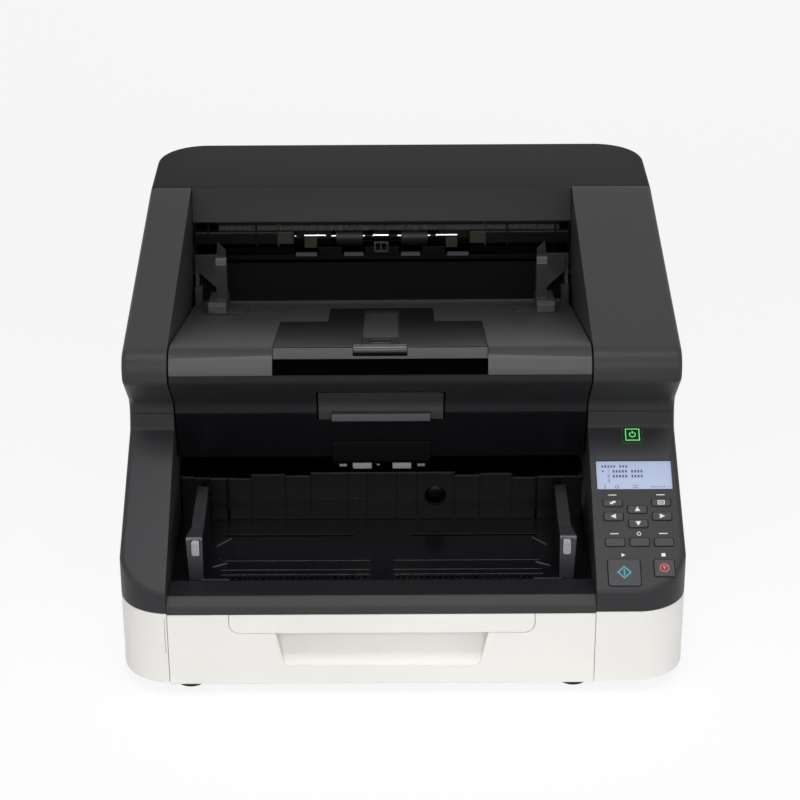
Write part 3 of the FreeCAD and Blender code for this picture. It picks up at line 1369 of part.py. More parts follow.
def make_lower_path():
    left = frame_left_x + 0.2
    right = frame_right_x - 0.2
    line = [(164.5, path_front_z - 4.9), (path_front_y, path_front_z, 5.0), (turn_y, path_z(turn_y), 40.0),
            (turn_y, hinge_z, 16.0), (turn_top_y, turn_top_z)]
    parts = [bent(line, path_sheet, left, right)]
    flange_rear = path_rear_y - 54.0
    for x in (left, right - path_sheet):
        parts.append(prism([(200, path_z(200) - 1), (flange_rear, path_z(flange_rear) - 1),
                            (flange_rear, path_z(flange_rear) - 13), (200, path_z(200) - 13)],
                           "x", x, x + path_sheet))
    apron_y = hinge_y + 3.0
    for x0, x1 in tab_places:
        # fingers that carry the sheets under the eject rollers
        parts.append(prism([(turn_top_y + 3, turn_top_z - 0.4), (eject_y - 8, tab_z, 6.0),
                            (apron_y + 1, tab_z - 1.8),
                            (apron_y + 1, tab_z - 3.8), (eject_y - 8, tab_z - 2.2),
                            (turn_top_y + 3, turn_top_z - 2.0)], "x", x0, x1))
    # apron between the fingers and the top of the eject tray's wall
    parts.append(box(brush_left_x, brush_right_x, apron_y, apron_y + 1.5, tab_z - 5.1, tab_z - 0.2))
    body = joined(parts)
    cuts = []
    for side in (-1, 1):
        edge = centre_left_x + 0.7 if side < 0 else centre_right_x - 0.7
        x0, x1 = sorted((edge, side * wide))
        cuts.append(box(x0, x1, feed_wall_y - 8, path_front_y + 16, path_front_z - 15, path_front_z + 15))
        cuts.append(box(x0, x1, hinge_y + 12, upper_wall_rear_y + 4, waist_z - 1, height))
    # window for the lower scan unit, which leaves a strip at both ends
    cuts.append(box(centre_left_x + 5.6, centre_right_x - 5.6, lower_scan_front - 0.4, lower_scan_rear + 0.4,
                    path_z(lower_scan_front) - 9, path_z(lower_scan_rear) + 9))
    cuts.append(box(frame_left_x + 0.2, frame_right_x - 0.2, lower_scan_front + 0.6, lower_scan_rear - 0.6,
                    path_z(lower_scan_front) - 25, path_z(lower_scan_front) - 2.4))
    for offset in tyre_offsets:
        x = centre_x + offset
        cuts.append(box(x - tyre_width / 2 - 1, x + tyre_width / 2 + 1, roller_y - transport_radius - 1,
                        roller_y + transport_radius + 1, path_z(roller_y) - 9, path_z(roller_y) + 9))
    cuts.append(rod("x", roller_y, transport_z, transport_shaft_radius + 1.0, -wide, wide))
    return body.cut(cuts)


def make_transport_roller():
    parts = [rod("x", roller_y, transport_z, transport_shaft_radius, frame_left_x - frame_sheet - 2,
                 frame_right_x + frame_sheet + 12)]
    for offset in tyre_offsets:
        x = centre_x + offset
        parts.append(rod("x", roller_y, transport_z, transport_radius, x - tyre_width / 2,
                         x + tyre_width / 2))
    wheel_x = frame_right_x + frame_sheet + 3
    parts.append(rod("x", roller_y, transport_z, 15.0, wheel_x, wheel_x + 7))
    return joined(parts)


upper_unit_frame = make_upper_frame()
upper_scan_unit = make_upper_scan_unit()
lower_scan_unit = make_lower_scan_unit()
lower_path_plate = make_lower_path()
transport_roller = make_transport_roller()


# Side frames and hinge pins

def make_side_frame(low_x, foot_side):
    rear = depth - 27.0
    front_z = panel_front_z + 30 * panel_rise - 18.5
    shoulder_z = panel_front_z + 128 * panel_rise - 18.5
    profile = [(30, frame_floor_z), (rear, frame_floor_z), (rear, waist_z - 10.5, 12.0),
               (hinge_y + 27, waist_z + 4.5, 8.0), (hinge_y + 16, hinge_z + 8, 8.0),
               (hinge_y - 14, hinge_z + 8, 8.0), (hinge_y - 26, waist_z - 0.5, 8.0),
               (170, waist_z - 12.5, 10.0), (128, shoulder_z, 10.0), (30, front_z, 8.0)]
    plate = prism(profile, "x", low_x, low_x + frame_sheet)
    foot_x = low_x if foot_side > 0 else low_x + frame_sheet - 14
    foot = box(foot_x, foot_x + 14, 40, rear - 10, frame_floor_z, frame_floor_z + frame_sheet)
    body = plate.fuse(foot).removeSplitter()
    cuts = [rod("x", hinge_y, hinge_z, hinge_pin_radius + 0.03, low_x - 9, low_x + 9),
            rod("x", roller_y, transport_z, transport_shaft_radius + shaft_clearance, low_x - 9, low_x + 9)]
    for y0, y1, z0, z1 in ((60, 130, 30, 62), (150, 240, 30, 62), (270, hinge_y - 8, 30, 90),
                           (hinge_y + 12, rear - 20, 30, 90), (hinge_y - 58, rear - 30, waist_z - 50.5,
                                                               waist_z - 20.5)):
        cuts.append(prism(clipped_corners(y0, y1, z0, z1, 6.0), "x", low_x - 9, low_x + 9))
    return body.cut(cuts)


def make_hinge_pins():
    pins = []
    for side in (-1, 1):
        frame_out = frame_left_x - frame_sheet if side < 0 else frame_right_x + frame_sheet
        inner = chassis_left + chassis_sheet if side < 0 else chassis_right - chassis_sheet
        x0, x1 = sorted((frame_out + side * 0.2, inner - side * 1.0))
        shank = rod("x", hinge_y, hinge_z, hinge_pin_radius, x0, x1)
        x0, x1 = sorted((frame_out + side * 0.2, frame_out + side * 3.0))
        head = rod("x", hinge_y, hinge_z, hinge_pin_radius + 3, x0, x1)
        pins.append(shank.fuse(head).removeSplitter())
    return Part.makeCompound(pins)


left_side_frame = make_side_frame(frame_left_x - frame_sheet, -1)
right_side_frame = make_side_frame(frame_right_x, 1)
hinge_pins = make_hinge_pins()


# Eject rollers, their frame and the brush

rib_offsets = (bar_inner + 14.6, bar_inner + 36.0, bar_outer - 12.9)


def make_eject_frame():
    left = left_wall_x + seam_gap
    right = right_wall_x - seam_gap
    rear = eject_y + 27.0
    plate_z = eject_plate_z
    parts = [box(left, right, eject_y - 12.6, rear, plate_z, plate_z + 2),
             box(left, right, eject_y + 15, eject_y + 17, bar_low_z - 3, plate_z + 1),
             box(left, left + 2, eject_y - 14, rear, bar_low_z - 8, plate_z + 1),
             box(right - 2, right, eject_y - 14, rear, bar_low_z - 8, plate_z + 1)]
    for x, width in frame_brackets:
        parts.append(prism([(eject_y - 10, plate_z + 1), (eject_y - 11, plate_z - 16.8),
                            (eject_y - 7, plate_z - 24.3),
                            (eject_y + 11, plate_z - 24.3), (eject_y + 16, plate_z - 18.8),
                            (eject_y + 16, plate_z + 1)], "x", x - width / 2, x + width / 2))
    for side in (-1, 1):
        x0, x1 = sorted((centre_x + side * bar_inner, centre_x + side * bar_outer))
        parts.append(prism([(bar_front_y, bar_low_z + 1), (bar_front_y + 1, bar_low_z), (bar_front_y + 8,
                                                                                         bar_low_z),
                            (bar_front_y + 8, bar_high_z), (bar_front_y + 1, bar_high_z),
                            (bar_front_y, bar_high_z - 1)], "x", x0, x1))
        for offset in rib_offsets:
            x = centre_x + side * offset
            parts.append(box(x - 1, x + 1, bar_front_y + 4, eject_y + 16, bar_low_z - 4, plate_z + 1))
            parts.append(box(x - 0.9, x + 0.9, bar_front_y - 0.6, bar_front_y + 4, bar_low_z - 1,
                             bar_high_z + 1))
    body = joined(parts)
    cuts = [rod("x", eject_y, eject_z, shaft_radius + shaft_clearance, -wide, wide)]
    cuts.append(box(brush_left_x - 0.4, brush_right_x + 0.4, eject_y - 16.7, eject_y - 12.5, plate_z - 5,
                    plate_z + 5))
    room = eject_radius + 0.6
    for side in (-1, 1):
        x = centre_x + side * eject_roller_offset
        half = eject_roller_width / 2 + 0.6
        cuts.append(box(x - half, x + half, eject_y - room, eject_y + room, eject_z - room - 9,
                        eject_z + room))
    return body.cut(cuts)


def make_eject_shaft():
    reach = bar_outer - 28.1
    return rod("x", eject_y, eject_z, shaft_radius, centre_x - reach, centre_x + reach)


def make_eject_rollers():
    rollers = []
    for side in (-1, 1):
        x = centre_x + side * eject_roller_offset
        half = eject_roller_width / 2
        roller = rod("x", eject_y, eject_z, eject_radius, x - half, x + half)
        rollers.append(roller.cut(rod("x", eject_y, eject_z, shaft_radius + 0.01, x - 20, x + 20)))
    return Part.makeCompound(rollers)


def make_brush():
    front = eject_y - 16.4
    top = eject_plate_z + 1.9
    parts = [box(brush_left_x, brush_right_x, front, front + 3.6, eject_plate_z - 1.0, top)]
    pitch = (brush_right_x - brush_left_x - 3) / (brush_count - 1)
    for index in range(brush_count):
        x = brush_left_x + 1.5 + index * pitch
        parts.append(box(x - 1.2, x + 1.2, front + 1.2, front + 2.4, eject_plate_z - 4.4,
                         eject_plate_z - 0.9))
    return joined(parts)


eject_frame = make_eject_frame()
eject_shaft = make_eject_shaft()
eject_rollers = make_eject_rollers()
brush_strip = make_brush()


# Rear cover, boards, power supply, inlet, motor and screws

screw_x = rear_half - screw_inset
screw_places = [(x, z) for z in (rear_low_z + 16.0, top_screw_z - 86.0, top_screw_z) for x in (-screw_x,
                                                                                               screw_x)]
board_low_z = 106.0
board_high_z = 206.0


def make_rear_cover():
    high = top_cover_low_z - half_gap
    cover = box(-rear_half, rear_half, depth - wall, depth, rear_low_z, high)
    parts = [cover]
    for x in (-rear_half + 4, -60.0, 60.0, rear_half - 6):
        parts.append(box(x, x + 2, depth - wall - 5, depth - wall + 0.5, rear_low_z + 4, high - 4))
    for x in (board_left_x + 6, board_right_x - 6):
        for z in (board_low_z + 6, board_high_z - 6):
            parts.append(box(x - 3, x + 3, board_y + 1.8, depth - 1, z - 3, z + 3))
    body = joined(parts)
    cuts = [box(inlet_x - 12.2, inlet_x + 12.2, depth - 10, depth + 1, inlet_z - 8.2, inlet_z + 8.2),
            box(usb_x - 6.4, usb_x + 6.4, depth - 10, depth + 1, usb_z - 5.9, usb_z + 5.9)]
    for row in range(7):
        for column in range(3):
            x = 16 + column * 43
            z = 150 + row * 9
            cuts.append(box(x, x + 36, depth - wall - 1, depth + 1, z, z + 3.5))
    for x, z in screw_places:
        cuts.append(rod("y", x, z, 1.7, depth - 9, depth + 1))
        cuts.append(rod("y", x, z, 3.9, depth - 1.6, depth + 1))
    return body.cut(cuts)


def make_screws():
    screws = []
    for x, z in screw_places:
        shank = rod("y", x, z, 1.6, depth - 7, depth - 1)
        head = rod("y", x, z, 3.5, depth - 1.5, depth - 0.1)
        screws.append(shank.fuse(head).removeSplitter())
    return Part.makeCompound(screws)


def make_main_board():
    parts = [box(board_left_x, board_right_x, board_y, board_y + 1.6, board_low_z, board_high_z)]
    parts.append(box(usb_x - 6.0, usb_x + 6.0, board_y + 1.4, depth - 0.4, usb_z - 5.5, usb_z + 5.5))
    # chips and connectors: place from the board's left edge, level, width, height and depth
    for a, z, width, tall, deep in ((20, 160, 24, 24, 3), (60, 165, 16, 20, 2.5), (80, 120, 12, 30, 6),
                                    (25, 190, 40, 8, 7)):
        x = board_left_x + a
        parts.append(box(x - width / 2, x + width / 2, board_y - deep, board_y + 0.5, z - tall / 2,
                         z + tall / 2))
    body = joined(parts)
    mouth = box(usb_x - 4.2, usb_x + 4.2, depth - 9, depth, usb_z - 3.9, usb_z + 3.9)
    tongue = box(usb_x - 2.6, usb_x + 2.6, depth - 9.5, depth - 1.5, usb_z + 1.0, usb_z + 2.6)
    return body.cut(mouth).fuse(tongue).removeSplitter()


def make_inlet():
    rim = box(inlet_x - 12.0, inlet_x + 12.0, depth - 20, depth - 0.3, inlet_z - 8.0, inlet_z + 8.0)
    flange = box(inlet_x - 16, inlet_x + 16, depth - wall - 3, depth - wall - 0.1, inlet_z - 12, inlet_z + 12)
    mouth = prism([(inlet_x - 10, inlet_z - 6), (inlet_x + 10, inlet_z - 6), (inlet_x + 10, inlet_z + 2.5),
                   (inlet_x + 6.5, inlet_z + 6), (inlet_x - 6.5, inlet_z + 6), (inlet_x - 10, inlet_z + 2.5)],
                  "y", depth - 16, depth)
    body = rim.fuse(flange).removeSplitter().cut(mouth)
    pins = []
    for x, z in ((inlet_x - 6, inlet_z - 1.5), (inlet_x + 6, inlet_z - 1.5), (inlet_x, inlet_z + 2.0)):
        pins.append(box(x - 1, x + 1, depth - 17, depth - 3, z - 2, z + 2))
    return body.fuse(pins).removeSplitter()


def make_power_supply():
    low = foot_height + plate_sheet + 0.1
    body = box(-20.0, 120.0, hinge_y + 4, depth - 27, low, low + 58)
    slots = []
    for index in range(8):
        x = -8 + index * 15
        slots.append(box(x, x + 9, hinge_y + 12, hinge_y + 52, low + 55, low + 60))
    return body.makeChamfer(1.5, [e for e in body.Edges if e.BoundBox.ZMin > low + 50]).cut(slots)


def make_drive_motor():
    x1 = frame_right_x - 0.2
    y = depth - 73.0
    z = 121.0
    flange = prism(clipped_corners(y - 30, y + 30, z - 25, z + 18.5, 4.0), "x", x1 - 3, x1)
    can = rod("x", y, z, 20.0, x1 - 58, x1 - 2.5)
    cap = rod("x", y, z, 12.0, x1 - 63, x1 - 57)
    return joined([flange, can.cut(box(x1 - 4, x1 + 1, y - 30, y + 30, z + 18.5, z + 30)), cap])


rear_cover = make_rear_cover()
cover_screws = make_screws()
main_board = make_main_board()
power_inlet = make_inlet()
power_supply = make_power_supply()
drive_motor = make_drive_motor()


# Keys and display window in the control panel

def key_corners(x, w, width, length, grow):
    return clipped_corners(x - width / 2 - grow, x + width / 2 + grow, w - length / 2 - grow,
                           w + length / 2 + grow, key_corner + grow * 0.4)


def make_key(x, w, width, length):
    cap = slab(panel_point, key_corners(x, w, width, length, 0.0), -wall - 1.2, key_stand)
    rim = [e for e in cap.Edges if on_key_top(e)]
    cap = cap.makeChamfer(key_bevel, rim)
    flange = slab(panel_point, key_corners(x, w, width, length, key_flange), -wall - 1.6, -wall - 0.4)
    return cap.fuse(flange.common(key_room)).removeSplitter()


def on_key_top(edge):
    middle = edge.valueAt((edge.FirstParameter + edge.LastParameter) / 2)
    stand = (middle.z - panel_front_z) * math.cos(panel_slope) - middle.y * math.sin(panel_slope)
    return abs(stand - key_stand) < 0.01


key_room = lower_body(wall + 0.4)
key_shapes = {}
key_holes = []
for name, (x, w, width, length) in keys.items():
    key_shapes[name] = make_key(x, w, width, length)
    key_holes.append(slab(panel_point, key_corners(x, w, width, length, key_gap), -wall - 3, 5.0))

window_cut = bar(panel_point, [(window_low, 5), (window_low, -wall - 3), (window_high, -wall - 3),
                               (window_high, -1.7), (window_high + window_slope_length, 0.05),
                               (window_high + window_slope_length, 5)], window_x - window_half,
                               window_x + window_half)
panel_cover = panel_cover.cut(key_holes + [window_cut])
lcd_window = slab(panel_point, clipped_corners(window_x - window_half - 1.6, window_x + window_half + 1.6,
                                               window_low - 2, window_high + 2, 1.0),
                  -wall - 0.1 - window_sheet, -wall - 0.1)


# Write every piece, with the middle of the footprint at the origin

pieces = {
    "bottom_plate": bottom_plate, "rubber_feet": rubber_feet, "left_base_cover": left_base_cover,
    "right_base_cover": right_base_cover, "front_base_cover": front_base_cover,
    "left_lower_cover": left_lower_cover, "panel_cover": panel_cover,
    "left_upper_cover": left_upper_cover, "right_upper_cover": right_upper_cover, "top_cover": top_cover,
    "rear_cover": rear_cover, "front_lip": front_lip, "tray_frame": tray_frame,
    "feed_back_wall": feed_back_wall, "left_side_frame": left_side_frame,
    "right_side_frame": right_side_frame,
    "lower_path_plate": lower_path_plate, "lower_scan_unit": lower_scan_unit, "eject_frame": eject_frame,
    "brush_strip": brush_strip, "lcd_window": lcd_window, "main_board": main_board,
    "power_supply": power_supply, "drive_motor": drive_motor, "power_inlet": power_inlet,
    "hinge_pins": hinge_pins, "cover_screws": cover_screws, "eject_tray": eject_tray,
    "nose_cover": nose_cover, "lower_front_panel": lower_front_panel, "upper_scan_unit": upper_scan_unit,
    "pickup_block": pickup_block, "upper_unit_frame": upper_unit_frame, "open_lever": open_lever,
    "eject_extension": eject_extension, "eject_stopper": eject_stopper, "eject_guide_left": eject_guide_left,
    "eject_guide_right": eject_guide_right, "eject_shaft": eject_shaft, "eject_rollers": eject_rollers,
    "elevator_tray": elevator_tray, "document_guide_left": document_guide_left,
    "document_guide_right": document_guide_right, "lock_button_left": lock_button_left,
    "lock_button_right": lock_button_right, "feed_tray_extension": feed_tray_extension,
    "pick_rollers": pick_rollers, "transport_roller": transport_roller,
}
pieces.update(key_shapes)

os.makedirs("parts", exist_ok=True)
for name, shape in pieces.items():
    shape.translate(vec(0, -depth / 2, 0))
    shape.exportStep("parts/" + name + ".step")
print(len(pieces), "pieces written")
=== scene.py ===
import json
import math

import bmesh
import bpy
from mathutils import Matrix, Vector

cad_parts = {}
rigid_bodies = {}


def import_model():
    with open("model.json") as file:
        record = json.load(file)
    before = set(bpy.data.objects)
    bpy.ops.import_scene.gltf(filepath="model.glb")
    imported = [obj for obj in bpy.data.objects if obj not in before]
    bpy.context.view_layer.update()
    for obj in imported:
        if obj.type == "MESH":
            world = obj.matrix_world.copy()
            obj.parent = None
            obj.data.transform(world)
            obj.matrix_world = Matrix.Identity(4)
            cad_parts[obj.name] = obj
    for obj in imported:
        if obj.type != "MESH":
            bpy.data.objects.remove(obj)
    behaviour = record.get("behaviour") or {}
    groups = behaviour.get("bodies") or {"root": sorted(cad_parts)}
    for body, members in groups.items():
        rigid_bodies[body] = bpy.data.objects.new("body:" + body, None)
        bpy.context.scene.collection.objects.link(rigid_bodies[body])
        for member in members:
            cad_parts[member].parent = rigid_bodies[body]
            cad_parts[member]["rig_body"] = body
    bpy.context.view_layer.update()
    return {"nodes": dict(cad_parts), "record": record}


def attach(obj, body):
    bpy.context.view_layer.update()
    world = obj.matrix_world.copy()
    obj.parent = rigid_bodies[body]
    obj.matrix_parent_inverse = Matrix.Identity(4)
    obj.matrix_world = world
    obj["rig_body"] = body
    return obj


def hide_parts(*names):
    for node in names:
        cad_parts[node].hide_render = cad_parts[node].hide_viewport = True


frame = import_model()
print("frame loaded")

millimetre = 0.001
frontPlane = -0.2635          # y of the base's front face; y sizes below count back from it in millimetres
centreX = -18.5               # middle of the section between the two side covers
panelFrontZ = 99.5            # the control panel starts here and rises at panelTurn
panelTurn = math.atan2(86.5, 139.5)


def at(x, y, z):
    return Vector((x * millimetre, y * millimetre + frontPlane, z * millimetre))


def onPanel(x, w, v):
    # w runs up the control panel from its front edge and v stands off it
    return at(x, w * math.cos(panelTurn) - v * math.sin(panelTurn),
              panelFrontZ + w * math.sin(panelTurn) + v * math.cos(panelTurn))


# Node helpers: a wire wraps a socket, so that shader maths reads as an expression

class Wire:
    def __init__(self, tree, socket):
        self.tree = tree
        self.socket = socket

    def maths(self, operation, first, second=0.0):
        return self.tree.node("ShaderNodeMath", {"operation": operation}, {0: first, 1: second})

    def __add__(self, other):
        return self.maths("ADD", self, other)

    def __radd__(self, other):
        return self.maths("ADD", other, self)

    def __sub__(self, other):
        return self.maths("SUBTRACT", self, other)

    def __rsub__(self, other):
        return self.maths("SUBTRACT", other, self)

    def __mul__(self, other):
        return self.maths("MULTIPLY", self, other)

    def __rmul__(self, other):
        return self.maths("MULTIPLY", other, self)

    def other(self, name):
        # another output of the same node
        return Wire(self.tree, self.socket.node.outputs[name])


class NodeWork:
    # adds nodes to a tree: the type, its settings, and the values or links of its sockets
    def node(self, kind, settings=None, sockets=None, out=0):
        made = self.tree.nodes.new(kind)
        for key, value in (settings or {}).items():
            setattr(made, key, value)
        for key, value in (sockets or {}).items():
            self.join(made.inputs[key], value)
        return Wire(self, made.outputs[out])

    def join(self, socket, value):
        if isinstance(value, Wire):
            self.tree.links.new(value.socket, socket)
        else:
            socket.default_value = value


class Finish(NodeWork):
    def __init__(self, name):
        self.material = bpy.data.materials.new(name)
        self.material.use_nodes = True
        self.tree = self.material.node_tree
        self.shader = self.tree.nodes["Principled BSDF"]
        self.output = self.tree.nodes["Material Output"]

    def set(self, **sockets):
        names = {"colour": "Base Color", "roughness": "Roughness", "metallic": "Metallic", "normal": "Normal",
                 "coat": "Coat Weight", "glow": "Emission Color", "glowStrength": "Emission Strength",
                 "alpha": "Alpha", "specular": "Specular IOR Level"}
        for key, value in sockets.items():
            self.join(self.shader.inputs[names[key]], value)
        return self

    def place(self, scale=(1, 1, 1)):
        coordinates = self.node("ShaderNodeTexCoord", out=3)
        return self.node("ShaderNodeMapping", {}, {"Vector": coordinates, "Scale": scale})

    def noise(self, scale, detail=2.0, roughness=0.5, stretch=(1, 1, 1)):
        return self.node("ShaderNodeTexNoise", {"noise_dimensions": "3D"},
                         {"Vector": self.place(stretch), "Scale": scale, "Detail": detail,
                          "Roughness": roughness})

    def blend(self, factor, first, second):
        return self.node("ShaderNodeMix", {"data_type": "RGBA"}, {0: factor, 6: first, 7: second}, out=2)

    def softEdge(self, radius):
        return self.node("ShaderNodeBevel", {"samples": 4}, {"Radius": radius})


def grey(value):
    return (value, value, value, 1)


def linear(code):
    # a colour as a screen shows it, from six hexadecimal figures
    parts = [int(code[i:i + 2], 16) / 255 for i in (0, 2, 4)]
    return tuple(p / 12.92 if p <= 0.04045 else ((p + 0.055) / 1.055) ** 2.4 for p in parts) + (1,)


def scaled(shade, factor):
    return tuple(min(1.0, part * factor) for part in shade[:3]) + (1,)


# Finishes

plastics = {
    # name: screen colour, roughness, gloss level, grain size per metre, grain height in metres, edge radius
    "warmWhite": ("e3e1dd", 0.50, 0.30, 2600, 0.00005, 0.0009),
    "charcoal": ("313133", 0.42, 0.14, 2600, 0.00007, 0.0009),
    "coverBlack": ("333334", 0.42, 0.14, 2600, 0.00007, 0.0009),
    "noseGrey": ("262628", 0.46, 0.06, 2400, 0.00005, 0.0006),
    "lipGrey": ("3a3a3b", 0.46, 0.10, 2400, 0.00005, 0.0006),
    "trayBlack": ("353537", 0.48, 0.14, 2400, 0.00006, 0.0005),
    "plateBlack": ("101012", 0.34, 0.12, 2400, 0.00005, 0.0006),
    "leverBlack": ("383839", 0.42, 0.20, 2400, 0.00004, 0.0005),
    "cavityBlack": ("0e0e11", 0.22, 0.30, 900, 0.00001, 0.0004),
    "wallBlack": ("0c0c0f", 0.28, 0.25, 900, 0.00001, 0.0004),
    "wallGrey": ("0b0b0d", 0.50, 0.02, 900, 0.00001, 0.0004),
    # painted shade: a darker copy of the cover black, so the top cover's upward faces read as getting less
    # light
    "topCoverShadedBlack": ("18181a", 0.50, 0.03, 2600, 0.00007, 0.0009),
    # painted shade: a flat near-black with no gloss, put on faces in recesses and pockets so they read as deep
    # shade
    "recessShadeBlack": ("020203", 0.90, 0.00, 900, 0.00001, 0.0004),
    # painted highlight: light grey for thin upward faces that stand for edges catching light
    "highlightLineGrey": ("8a8a8e", 0.30, 0.50, 900, 0.00001, 0.0002),
    "mechanismBlack": ("0c0c0e", 0.42, 0.14, 1800, 0.00002, 0.0003),
    "blockBeige": ("36342c", 0.48, 0.10, 1500, 0.00002, 0.0003),
    "pathBlack": ("0c0c0e", 0.40, 0.10, 1500, 0.00002, 0.0003),
    "guideGrey": ("2f2f32", 0.26, 0.50, 1200, 0.00001, 0.0008),
    "buttonGrey": ("a2a2a6", 0.30, 0.50, 1200, 0.00001, 0.0005),
    "keyGrey": ("333335", 0.40, 0.20, 2400, 0.00004, 0.0003),
    "lensBlack": ("050506", 0.10, 0.05, 600, 0.000002, 0.0002),
    "housingBlack": ("161618", 0.5, 0.30, 1800, 0.00003, 0.0005),
    # painted light: a lighter copy of the cover black for the top cover's front-facing faces, as if lit from
    # the front
    "topCoverLitFront": ("3c3c3e", 0.44, 0.14, 2600, 0.00007, 0.0009),
    # painted light: a lighter copy of trayBlack for the tray's front-facing band
    "trayLitFront": ("4c4c4d", 0.46, 0.16, 2400, 0.00006, 0.0005),
    "wingGrey": ("3a3a3c", 0.40, 0.30, 2400, 0.00005, 0.0005),
    "exitGrey": ("323235", 0.30, 0.40, 2400, 0.00004, 0.0006),
    "handleBlack": ("232325", 0.22, 0.55, 2400, 0.00002, 0.0005),
    # painted highlight: mid grey for upward top faces that stand for edges catching light
    "highlightEdgeGrey": ("4c4c50", 0.30, 0.40, 900, 0.00001, 0.0002),
    "pickupBlack": ("060607", 0.50, 0.05, 1800, 0.00002, 0.0003),
    "ledgeGrey": ("515153", 0.42, 0.20, 2400, 0.00004, 0.0004),
    # painted light on the extension's front faces, a lighter copy of plateBlack; the same grey also covers a
    # band of the channel floor
    "plateLitFrontAndChannelGrey": ("353537", 0.36, 0.30, 2400, 0.00004, 0.0005),
    # painted shade: a darker copy of lipGrey for the lip's upward faces
    "lipShadedTop": ("1e1e20", 0.40, 0.10, 2400, 0.00005, 0.0006),
    "tipSmoke": ("2b2b2f", 0.16, 0.60, 900, 0.00001, 0.0003),
}


def makePlastic(name):
    # moulded plastic with a fine grain, a faint cloudiness and softened edges
    shade, roughness, gloss, grain, height, edge = plastics[name]
    finish = Finish(name)
    base = linear(shade)
    cloud = finish.noise(9.0, 3.0)
    fine = finish.noise(grain, 2.0, 0.6)
    tone = finish.blend(cloud, scaled(base, 0.92), scaled(base, 1.08))
    bump = finish.node("ShaderNodeBump", {}, {"Strength": 0.55, "Distance": height, "Height": fine,
                                              "Normal": finish.softEdge(edge)})
    finish.set(colour=tone, roughness=fine * 0.10 + (roughness - 0.05), normal=bump, specular=gloss)
    return finish.material


def makeSheetSteel():
    # zinc-plated sheet with faint spangles and rolling streaks
    finish = Finish("zincSheet")
    streak = finish.noise(60.0, 4.0, 0.6, (1, 12, 1))
    spangle = finish.node("ShaderNodeTexVoronoi", {}, {"Vector": finish.place(), "Scale": 240.0})
    tone = finish.blend(streak, linear("7f8183"), linear("a9abac"))
    finish.set(colour=tone, metallic=1.0, roughness=streak * 0.12 + spangle * 0.08 + 0.32,
               normal=finish.softEdge(0.0003))
    return finish.material


def makePolishedSteel():
    finish = Finish("polishedSteel")
    turned = finish.noise(500.0, 2.0, 0.5, (0.05, 1, 1))
    finish.set(colour=linear("d4d5d7"), metallic=1.0, roughness=turned * 0.10 + 0.10,
               normal=finish.softEdge(0.0002))
    return finish.material


def makeRubber(name, shade, roughness=0.75):
    finish = Finish(name)
    fine = finish.noise(1800.0, 3.0, 0.6)
    base = linear(shade)
    tone = finish.blend(fine, scaled(base, 0.85), base)
    bump = finish.node("ShaderNodeBump", {}, {"Strength": 0.5, "Distance": 0.00004, "Height": fine,
                                              "Normal": finish.softEdge(0.0004)})
    finish.set(colour=tone, roughness=roughness, normal=bump, specular=0.3)
    return finish.material


def makeBoard():
    finish = Finish("boardGreen")
    cloud = finish.noise(260.0, 4.0, 0.7)
    tracks = finish.noise(900.0, 1.0, 0.3, (1, 1, 6))
    finish.set(colour=finish.blend(cloud, linear("123a26"), linear("1d5638")), roughness=tracks * 0.2 + 0.25)
    return finish.material


def makeGlow(name, shade, strength, patch=0.06):
    # lit surface, a little uneven like a lamp behind a diffuser
    finish = Finish(name)
    cloud = finish.noise(40.0, 2.0)
    tone = finish.blend(cloud, scaled(linear(shade), 1.0 - patch), linear(shade))
    finish.set(colour=tone, glow=tone, glowStrength=strength, roughness=cloud * 0.1 + 0.2)
    return finish.material


def makePrint(name, shade):
    finish = Finish(name)
    fine = finish.noise(3000.0, 2.0)
    tone = finish.blend(fine, scaled(linear(shade), 0.94), linear(shade))
    finish.set(colour=tone, roughness=fine * 0.1 + 0.4, specular=0.3)
    return finish.material


finishes = {name: makePlastic(name) for name in plastics}
finishes["zincSheet"] = makeSheetSteel()
finishes["polishedSteel"] = makePolishedSteel()
finishes["footRubber"] = makeRubber("footRubber", "161617", 0.8)
finishes["rollerRubber"] = makeRubber("rollerRubber", "19191b", 0.42)
finishes["pickRubber"] = makeRubber("pickRubber", "a9a9a7", 0.6)
finishes["bristleGrey"] = makeRubber("bristleGrey", "5c5c5f", 0.5)
finishes["boardGreen"] = makeBoard()
finishes["displayPane"] = makeGlow("displayPane", "8f9ab5", 0.35)
finishes["displayInk"] = makePrint("displayInk", "3f4468")
finishes["greenGlow"] = makeGlow("greenGlow", "62d873", 0.9)
finishes["greenHalo"] = makeGlow("greenHalo", "1c4a24", 0.25)
finishes["legendWhite"] = makePrint("legendWhite", "d8d8d8")
finishes["legendTeal"] = makePrint("legendTeal", "3f9fa6")
finishes["legendRed"] = makePrint("legendRed", "cf5a50")
finishes["tabSilver"] = makePrint("tabSilver", "4c4c50")
print("finishes made")


# Pieces taken over from the solids

def dress(piece, body, node=None, slotName=None):
    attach(piece, body)
    if node:
        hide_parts(node)
        slotName = slotName or next(part["material_slot"] for part in frame["record"]["subparts"]
                                    if part["node"] == node)
    return piece


